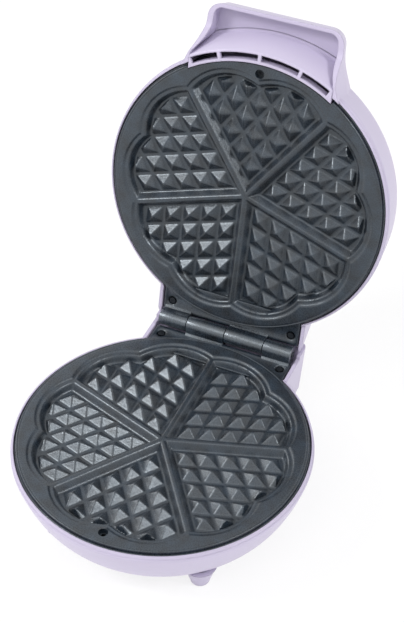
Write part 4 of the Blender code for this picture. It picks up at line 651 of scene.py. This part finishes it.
def moulded_plastic():
    """Injection-moulded polypropylene: a pale satin skin with a soft shine along its edges."""
    material, tree, shader = blank_material("moulded_polypropylene", Roughness=0.36, IOR=1.49)
    place = add_node(tree, "ShaderNodeTexCoord").outputs["Object"]
    cloud = add_node(tree, "ShaderNodeTexNoise", {"Scale": scale_for(CLOUD_SIZE), "Detail": 2.0},
                     vector=place)
    tone = add_node(tree, "ShaderNodeValToRGB", fac=cloud.outputs["Fac"])
    dark, light = tone.color_ramp.elements
    dark.color, light.color = colour(PLASTIC_DARK), colour(PLASTIC_LIGHT)
    tree.links.new(tone.outputs["Color"], shader.inputs["Base Color"])
    grain = add_node(tree, "ShaderNodeTexNoise", {"Scale": scale_for(GRAIN_SIZE), "Detail": 1.0},
                     vector=place)
    soft = add_node(tree, "ShaderNodeBevel", {"Radius": EDGE_RADIUS * MM, "samples": 4})
    bump = add_node(tree, "ShaderNodeBump", {"Strength": 0.08, "Distance": GRAIN_DEPTH * MM},
                    height=grain.outputs["Fac"], normal=soft.outputs["Normal"])
    tree.links.new(bump.outputs["Normal"], shader.inputs["Normal"])
    return material


LAVENDER = moulded_plastic()
put("base_moulding", base_shell_mesh(), (LAVENDER,), BASE_AT, "base", "base_shell")


# Screws, pin and wiring of the base
# Blackened screws hold each plate and a blackened pin joins the two. The terminal block stands in the housing
# behind, the leads run from it in woven glass sleeving, and a rubber gland waits in the wall for the cord.

# dark grey, with a fine uneven shine
DARK_STEEL = steel("blackened_steel", "#3A3D42", 0.3, 0.5, 2.5)
# near black and dull
RUBBER = insulator("moulded_rubber", "#2B2B2E", "#323236", 0.6, 1.667, 0.05)
# matt cream, with the small bumps of its weave
SLEEVE = insulator("glass_sleeving", "#D9D3C6", "#C4BDAE", 0.8, 0.833, 0.1)

dress(DARK_STEEL, "hinge_pin", *[f"{half}_plate_screw_{place}" for half in ("lower", "upper")
                                 for place in ("front", "left", "right")])
dress(CERAMIC, "terminal_block")
dress(SLEEVE, "live_lead", "fuse_lead", "element_lead", "neutral_lead")
dress(RUBBER, "cord_gland")


# Lid shell
# The upper moulding: a drum with a crowned top, the housing behind it, and the deep hood at the front that
# lifts it. The hood is open towards the plate and its side walls run out into the drum in long soft curves.

LID_DEPTH = 38.5
LID_SIDE = ((100.4, -5.6), (99.2, -15.0), (97.4, -30.0), (96.3, -32.6), (93.5, -34.4), (88.0, -35.3),
            (60.2, -37.2))
LID_HOUSING_END, LID_HOUSING_LEAN, LID_HOUSING_TOP = 107.0, 12.0, -33.5
LID_POST_END, LID_PILOT_END = -20.0, -16.0
HOOD_RIM, HOOD_ROOF, HOOD_TOP, HOOD_START = -20.0, -28.6, -33.4, -0.4
HOOD_FRONT, HOOD_HALF, HOOD_WALL, HOOD_FRONT_WALL = 122.0, 47.0, 4.0, 2.8
HOOD_CORNER, HOOD_ROUNDING, CROWN_STEPS, HOOD_DRAFT, CORE_DRAFT = 10.0, 4.5, 6, 1.6, 0.8
# half width and place, from the hood's root on the drum out to its corner, and how far each is rounded
HOOD_SIDE = ((58.3, -75.6), (55.5, -80.5), (51.2, -91.5), (48.4, -99.4))
HOOD_BENDS = (0.0, 24.0, 30.0, 40.0)
CORE_BENDS = (6.0, 20.0)
# the sloping edge of the hood's sides, as run and height from its upper end and from the hood's rim
SLOPE_START, SLOPE_END, SLOPE_HALF = -91.6, -106.0, 90.0
SLOPE_HEAD = ((5.0, 6.0), (0.3, 0.6), (-1.0, -1.2))
SLOPE_FOOT = ((3.2, 4.2), (1.6, 1.9), (-0.6, 0.4), (-3.4, 0.0))
COVER_HALF, COVER_GAP = 49.6, 0.35
LENS_HOLE, LAMP_X, LAMP_Y, LENS_HOLE_ENDS = 4.25, 9.0, -68.0, (-28.0, -45.0)
# turns a loft so that its height runs along X
ALONG_X = Matrix(((0.0, 0.0, 1.0, 0.0), (1.0, 0.0, 0.0, 0.0), (0.0, 1.0, 0.0, 0.0), (0.0, 0.0, 0.0, 1.0)))


def mirrored(right):
    """A closed outline from its corners on the right."""
    return rounded(right + [((-x, y), bend) for (x, y), bend in reversed(right)])


def hood_outline(inset, corner):
    """The hood from above, drawn in by an inset."""
    right = [((x - inset, y), bend) for (x, y), bend in zip(HOOD_SIDE, HOOD_BENDS)]
    return mirrored(right + [((HOOD_HALF - inset, -HOOD_FRONT + inset), corner)])


def hood_core_outline(clearance):
    """The space inside the hood, from the drum's chamber out to the front wall."""
    start = COVER_HALF + COVER_GAP - clearance
    half = HOOD_HALF - HOOD_WALL - clearance
    return mirrored([((start, HOOD_SIDE[1][1]), 0.0), ((start, SLOPE_START), CORE_BENDS[0]),
                     ((HOOD_SIDE[3][0] - HOOD_WALL - clearance, HOOD_SIDE[3][1]), CORE_BENDS[1]),
                     ((half, -HOOD_FRONT + HOOD_FRONT_WALL + clearance), HOOD_CORNER - HOOD_WALL)])


def hood_core(name, clearance):
    """A solid of that space, whose walls draw in a little towards the roof."""
    return loft(name, [(hood_core_outline(clearance + CORE_DRAFT), HOOD_ROOF),
                       (hood_core_outline(clearance), HOOD_RIM), (hood_core_outline(clearance), CUT_PAST)])


def lid_shell_mesh():
    side = bowl_side(LID_SIDE)
    shell = lathe("lid_drum", [(0.0, LIP_HEIGHT)] + side + [(0.0, -LID_DEPTH)])
    combine(shell, 'UNION', loft("lid_housing", housing_levels(0.0, LID_HOUSING_END, LID_HOUSING_LEAN,
                                                               LID_HOUSING_TOP, HOUSING_TOP)))
    crown = []
    for number in range(CROWN_STEPS + 1):
        turn = math.pi / 2 * number / CROWN_STEPS
        inset = HOOD_ROUNDING * (1 - math.sin(turn))
        crown.append((hood_outline(HOOD_DRAFT + inset, HOOD_CORNER - inset / 2),
                      HOOD_TOP + HOOD_ROUNDING * (1 - math.cos(turn))))
    combine(shell, 'UNION', loft("hood", crown + [(hood_outline(0.0, HOOD_CORNER), HOOD_RIM),
                                                  (hood_outline(0.0, HOOD_CORNER), HOOD_START)]))
    # everything in front of the cover and below the hood's rim is taken away along a sloping edge
    edge = stepped(SLOPE_START, 0.0, SLOPE_HEAD) + stepped(SLOPE_END, HOOD_RIM, SLOPE_FOOT)
    edge += [(-HOOD_FRONT - CUT_PAST, HOOD_RIM), (-HOOD_FRONT - CUT_PAST, SLOPE_HEAD[0][1])]
    combine(shell, 'DIFFERENCE', loft("hood_slope", [(edge, -SLOPE_HALF), (edge, SLOPE_HALF)], ALONG_X))
    combine(shell, 'DIFFERENCE', hood_core("hood_core", 0.0))
    combine(shell, 'DIFFERENCE', loft("lid_housing_core", housing_levels(
        HOUSING_WALL, LID_HOUSING_END, LID_HOUSING_LEAN, LID_HOUSING_TOP + HOUSING_WALL, HOUSING_TOP - SINK,
        CUT_PAST)))
    inner_half = HOUSING_HALF - HOUSING_WALL
    combine(shell, 'DIFFERENCE', block("flange_passage", (-inner_half, FLANGE_START, DECK_TOP),
                                       (inner_half, LID_HOUSING_END + CUT_PAST, CUT_PAST)))
    combine(shell, 'DIFFERENCE', *well_and_chamber("lid", side, LID_DEPTH))
    add_posts(shell, DECK_TOP, LID_POST_END, LID_PILOT_END)
    for x in (-LAMP_X, LAMP_X):
        combine(shell, 'DIFFERENCE', rod("lens_hole", LENS_HOLE, *LENS_HOLE_ENDS, HOLE_STEPS,
                                         at=(x, LAMP_Y, 0.0)))
    return finished_mesh(shell)


put("lid_moulding", lid_shell_mesh(), (LAVENDER,), LID_AT, "lid", "lid_shell")


# Handle cover
# The curved wall that closes the drum towards the hood. A flat strip along its foot has four slots that let
# the steam out, and replaces the plate's rim there. It is moulded in the shells' plastic and screwed in.

COVER_LIP_RADIUS, COVER_LIP, COVER_FOOT, COVER_STEPS = 94.6, 2.0, 6.0, 192
SLOT_WIDTH, STRIP_BORDER, SLOT_BORDER, COVER_WALL = 4.4, 1.4, 0.4, 2.2
COVER_RADIUS, COVER_CLEARANCE = 107.5, 0.05
RIBS, RIB_WIDTH, SLOT_ENDS, SLOT_STEPS = (-26.3, 1.5, 28.8), 2.2, (-46.0, 47.2), 16
# the strip's two rounded edges and the fillet at the hood's roof, each from its own corner
LIP_ROUNDING = ((0.0, -0.4), (0.15, -0.1), (0.45, 0.0))
STRIP_ROUNDING = ((-0.4, 0.0), (0.1, -0.15), (0.5, -0.7))
ROOF_FILLET = ((-0.6, 3.4), (-0.3, 2.0), (0.2, 0.9), (1.1, 0.2), (1.6, 0.0))
COVER_SCREWS, EAR_HALF, EAR_WALL, EAR_HOLE_TOP = ((-26.0, -99.5), (26.0, -99.5)), 4.5, 2.4, 5.0


def cover_mesh():
    slot_in = COVER_LIP_RADIUS + COVER_LIP
    slot_out = slot_in + SLOT_WIDTH
    roof = HOOD_ROOF + COVER_CLEARANCE
    inner = COVER_RADIUS - COVER_WALL
    profile = stepped(COVER_LIP_RADIUS, 0.0, LIP_ROUNDING)
    profile += stepped(slot_out + STRIP_BORDER, 0.0, STRIP_ROUNDING)
    profile += stepped(COVER_RADIUS, roof, ROOF_FILLET)
    profile += [(inner, roof), (slot_out + SLOT_BORDER, -COVER_WALL), (slot_in, -COVER_WALL),
                (slot_in, -COVER_FOOT), (COVER_LIP_RADIUS, -COVER_FOOT)]
    cover = lathe("cover", profile, COVER_STEPS, closed=True)
    combine(cover, 'INTERSECT', hood_core("limits", COVER_CLEARANCE))
    starts = [SLOT_ENDS[0]] + [rib + RIB_WIDTH / 2 for rib in RIBS]
    ends = [rib - RIB_WIDTH / 2 for rib in RIBS] + [SLOT_ENDS[1]]
    for start, end in zip(starts, ends):
        first, last = (math.asin(x / slot_in) - math.pi / 2 for x in (start, end))
        turns = [first + (last - first) * k / SLOT_STEPS for k in range(SLOT_STEPS + 1)]
        outline = [(slot_in * math.cos(t), slot_in * math.sin(t)) for t in turns]
        outline += [(slot_out * math.cos(t), slot_out * math.sin(t)) for t in reversed(turns)]
        combine(cover, 'DIFFERENCE', loft("slot", [(outline, -COVER_WALL - SINK), (outline, CUT_PAST)]))
    for x, y in COVER_SCREWS:
        reach = math.sqrt((inner + SINK) ** 2 - (abs(x) + EAR_HALF) ** 2)
        combine(cover, 'UNION', block("ear", (x - EAR_HALF, -reach, roof),
                                      (x + EAR_HALF, y + EAR_HALF, roof + EAR_WALL)))
        combine(cover, 'DIFFERENCE', rod("ear_hole", PILOT_RADIUS, roof + EAR_HOLE_TOP, roof - CUT_PAST,
                                         PILOT_STEPS, at=(x, y, 0.0)))
    return finished_mesh(cover)


put("vented_cover", cover_mesh(), (LAVENDER,), LID_AT, "lid", "handle_cover")
dress(ZINC_STEEL, "handle_cover_screw_left", "handle_cover_screw_right")


# Lamps of the lid
# A red and a green lens show on the lid. Behind each a neon glow lamp sits in a ceramic holder with one
# screw, wired to the element's pins through sleeved leads.

# a full, even colour under a hard shine
RED_LENS = insulator("red_polycarbonate", "#B3161B", "#C2191F", 0.12, 10.0, 0.02)
GREEN_LENS = insulator("green_polycarbonate", "#1C8F3A", "#22A144", 0.12, 10.0, 0.02)
# drawn glass with the pale orange of its electrodes
LAMP_GLASS = insulator("neon_lamp_glass", "#D9C7B5", "#E0D0BF", 0.08, 10.0, 0.02)

dress(RED_LENS, "power_lamp_lens")
dress(GREEN_LENS, "ready_lamp_lens")
dress(LAMP_GLASS, "power_glow_lamp", "ready_glow_lamp")
dress(CERAMIC, "lamp_holder")
dress(ZINC_STEEL, "lamp_holder_screw")
dress(SLEEVE, "lamp_lead_left", "lamp_lead_right", "lamp_link")


# The photographer's table
# White paper that glows, as if lit from behind, four round softboxes and a pale surround. The lamps' places
# follow from the facets that glint in the photo, and the camera's from the photo's perspective.

FLOOR_HALF, FLOOR_GLOW = 6.0, 0.8
LAMP_DISTANCE, LAMP_AIM = 3.0, Vector((0.0, 0.0, 0.12))
SURROUND_LIGHT = 0.66
FOCAL = 1654.16                    # in pixels of the photo
PHOTO_HEIGHT = 622
SENSOR = 36.0
AZIMUTH, ELEVATION, ROLL = (math.radians(v) for v in (23.565, 42.445, 0.248))
EYE = Vector((322.6, -675.5, 797.3)) * MM
VIEW_REACH = 20.0


def white_to_the_eye(tree):
    """1 for rays that meet a surface directly, in a reflection or through glass, else 0."""
    rays = add_node(tree, "ShaderNodeLightPath").outputs
    seen = rays["Is Camera Ray"]
    for other in ("Is Glossy Ray", "Is Transmission Ray"):
        either = add_node(tree, "ShaderNodeMath", {"operation": 'MAXIMUM'})
        tree.links.new(seen, either.inputs[0])
        tree.links.new(rays[other], either.inputs[1])
        seen = either.outputs[0]
    return seen


def pale_floor():
    """White matt paper under the maker. Most of it glows, so its shadow stays faint."""
    mesh = bpy.data.meshes.new("floor")
    corners = rectangle((-FLOOR_HALF, -FLOOR_HALF), (FLOOR_HALF, FLOOR_HALF))
    mesh.from_pydata([(x, y, 0.0) for x, y in corners], [], [(0, 1, 2, 3)])
    floor = bpy.data.objects.new("floor", mesh)
    bpy.context.scene.collection.objects.link(floor)
    material, tree, shader = blank_material("white_paper", Roughness=0.9, Base_Color=colour("#FFFFFF"),
                                            Specular_IOR_Level=0.0)
    glow = add_node(tree, "ShaderNodeEmission", {"Strength": 1.0})
    share = add_node(tree, "ShaderNodeMath", {"operation": 'MULTIPLY'})
    tree.links.new(white_to_the_eye(tree), share.inputs[0])
    share.inputs[1].default_value = FLOOR_GLOW
    mix = add_node(tree, "ShaderNodeMixShader", fac=share.outputs[0])
    tree.links.new(shader.outputs[0], mix.inputs[1])
    tree.links.new(glow.outputs[0], mix.inputs[2])
    tree.links.new(mix.outputs[0], tree.nodes["Material Output"].inputs["Surface"])
    mesh.materials.append(material)


def direction(azimuth, elevation):
    """From the object to a place round it. Azimuth 0 stands in front, a quarter turn to the right."""
    level = math.cos(elevation)
    return Vector((math.sin(azimuth) * level, -math.cos(azimuth) * level, math.sin(elevation)))


def soft_lamp(name, azimuth, elevation, size, power):
    """A round softbox that faces the object, its place given in degrees."""
    data = bpy.data.lights.new(name, 'AREA')
    data.shape = 'DISK'
    data.size = size
    data.energy = power
    lamp = bpy.data.objects.new(name, data)
    bpy.context.scene.collection.objects.link(lamp)
    back = direction(math.radians(azimuth), math.radians(elevation))
    lamp.location = back * LAMP_DISTANCE + LAMP_AIM
    lamp.rotation_mode = 'QUATERNION'
    lamp.rotation_quaternion = back.to_track_quat('Z', 'Y')


pale_floor()
soft_lamp("left_softbox", -60.5, 40.5, 0.9, 44.0)
soft_lamp("right_softbox", 84.0, 43.5, 0.8, 32.0)
soft_lamp("front_softbox", -8.0, 56.0, 1.5, 12.0)
soft_lamp("low_softbox", -102.0, 13.0, 0.9, 10.0)

world = bpy.data.worlds.new("studio")
bpy.context.scene.world = world
world.use_nodes = True
sky = world.node_tree
background = sky.nodes["Background"]
background.inputs["Color"].default_value = colour("#FFFFFF")
lit = add_node(sky, "ShaderNodeMapRange", {"To Min": SURROUND_LIGHT, "To Max": 1.0},
               value=white_to_the_eye(sky))
sky.links.new(lit.outputs["Result"], background.inputs["Strength"])

camera_data = bpy.data.cameras.new("camera")
camera_data.sensor_fit = 'VERTICAL'
camera_data.sensor_height = SENSOR
camera_data.lens = FOCAL / PHOTO_HEIGHT * SENSOR
camera_data.clip_end = VIEW_REACH
camera = bpy.data.objects.new("camera", camera_data)
bpy.context.scene.collection.objects.link(camera)
back = direction(AZIMUTH, ELEVATION)
level = Vector((math.cos(AZIMUTH), math.sin(AZIMUTH), 0.0))
right = level * math.cos(ROLL) + back.cross(level) * math.sin(ROLL)
over = back.cross(right)
camera.matrix_world = BASE_AT @ Matrix.Translation(EYE) @ Matrix((right, over, back)).transposed().to_4x4()
bpy.context.scene.camera = camera

bpy.context.scene.view_settings.view_transform = 'Standard'
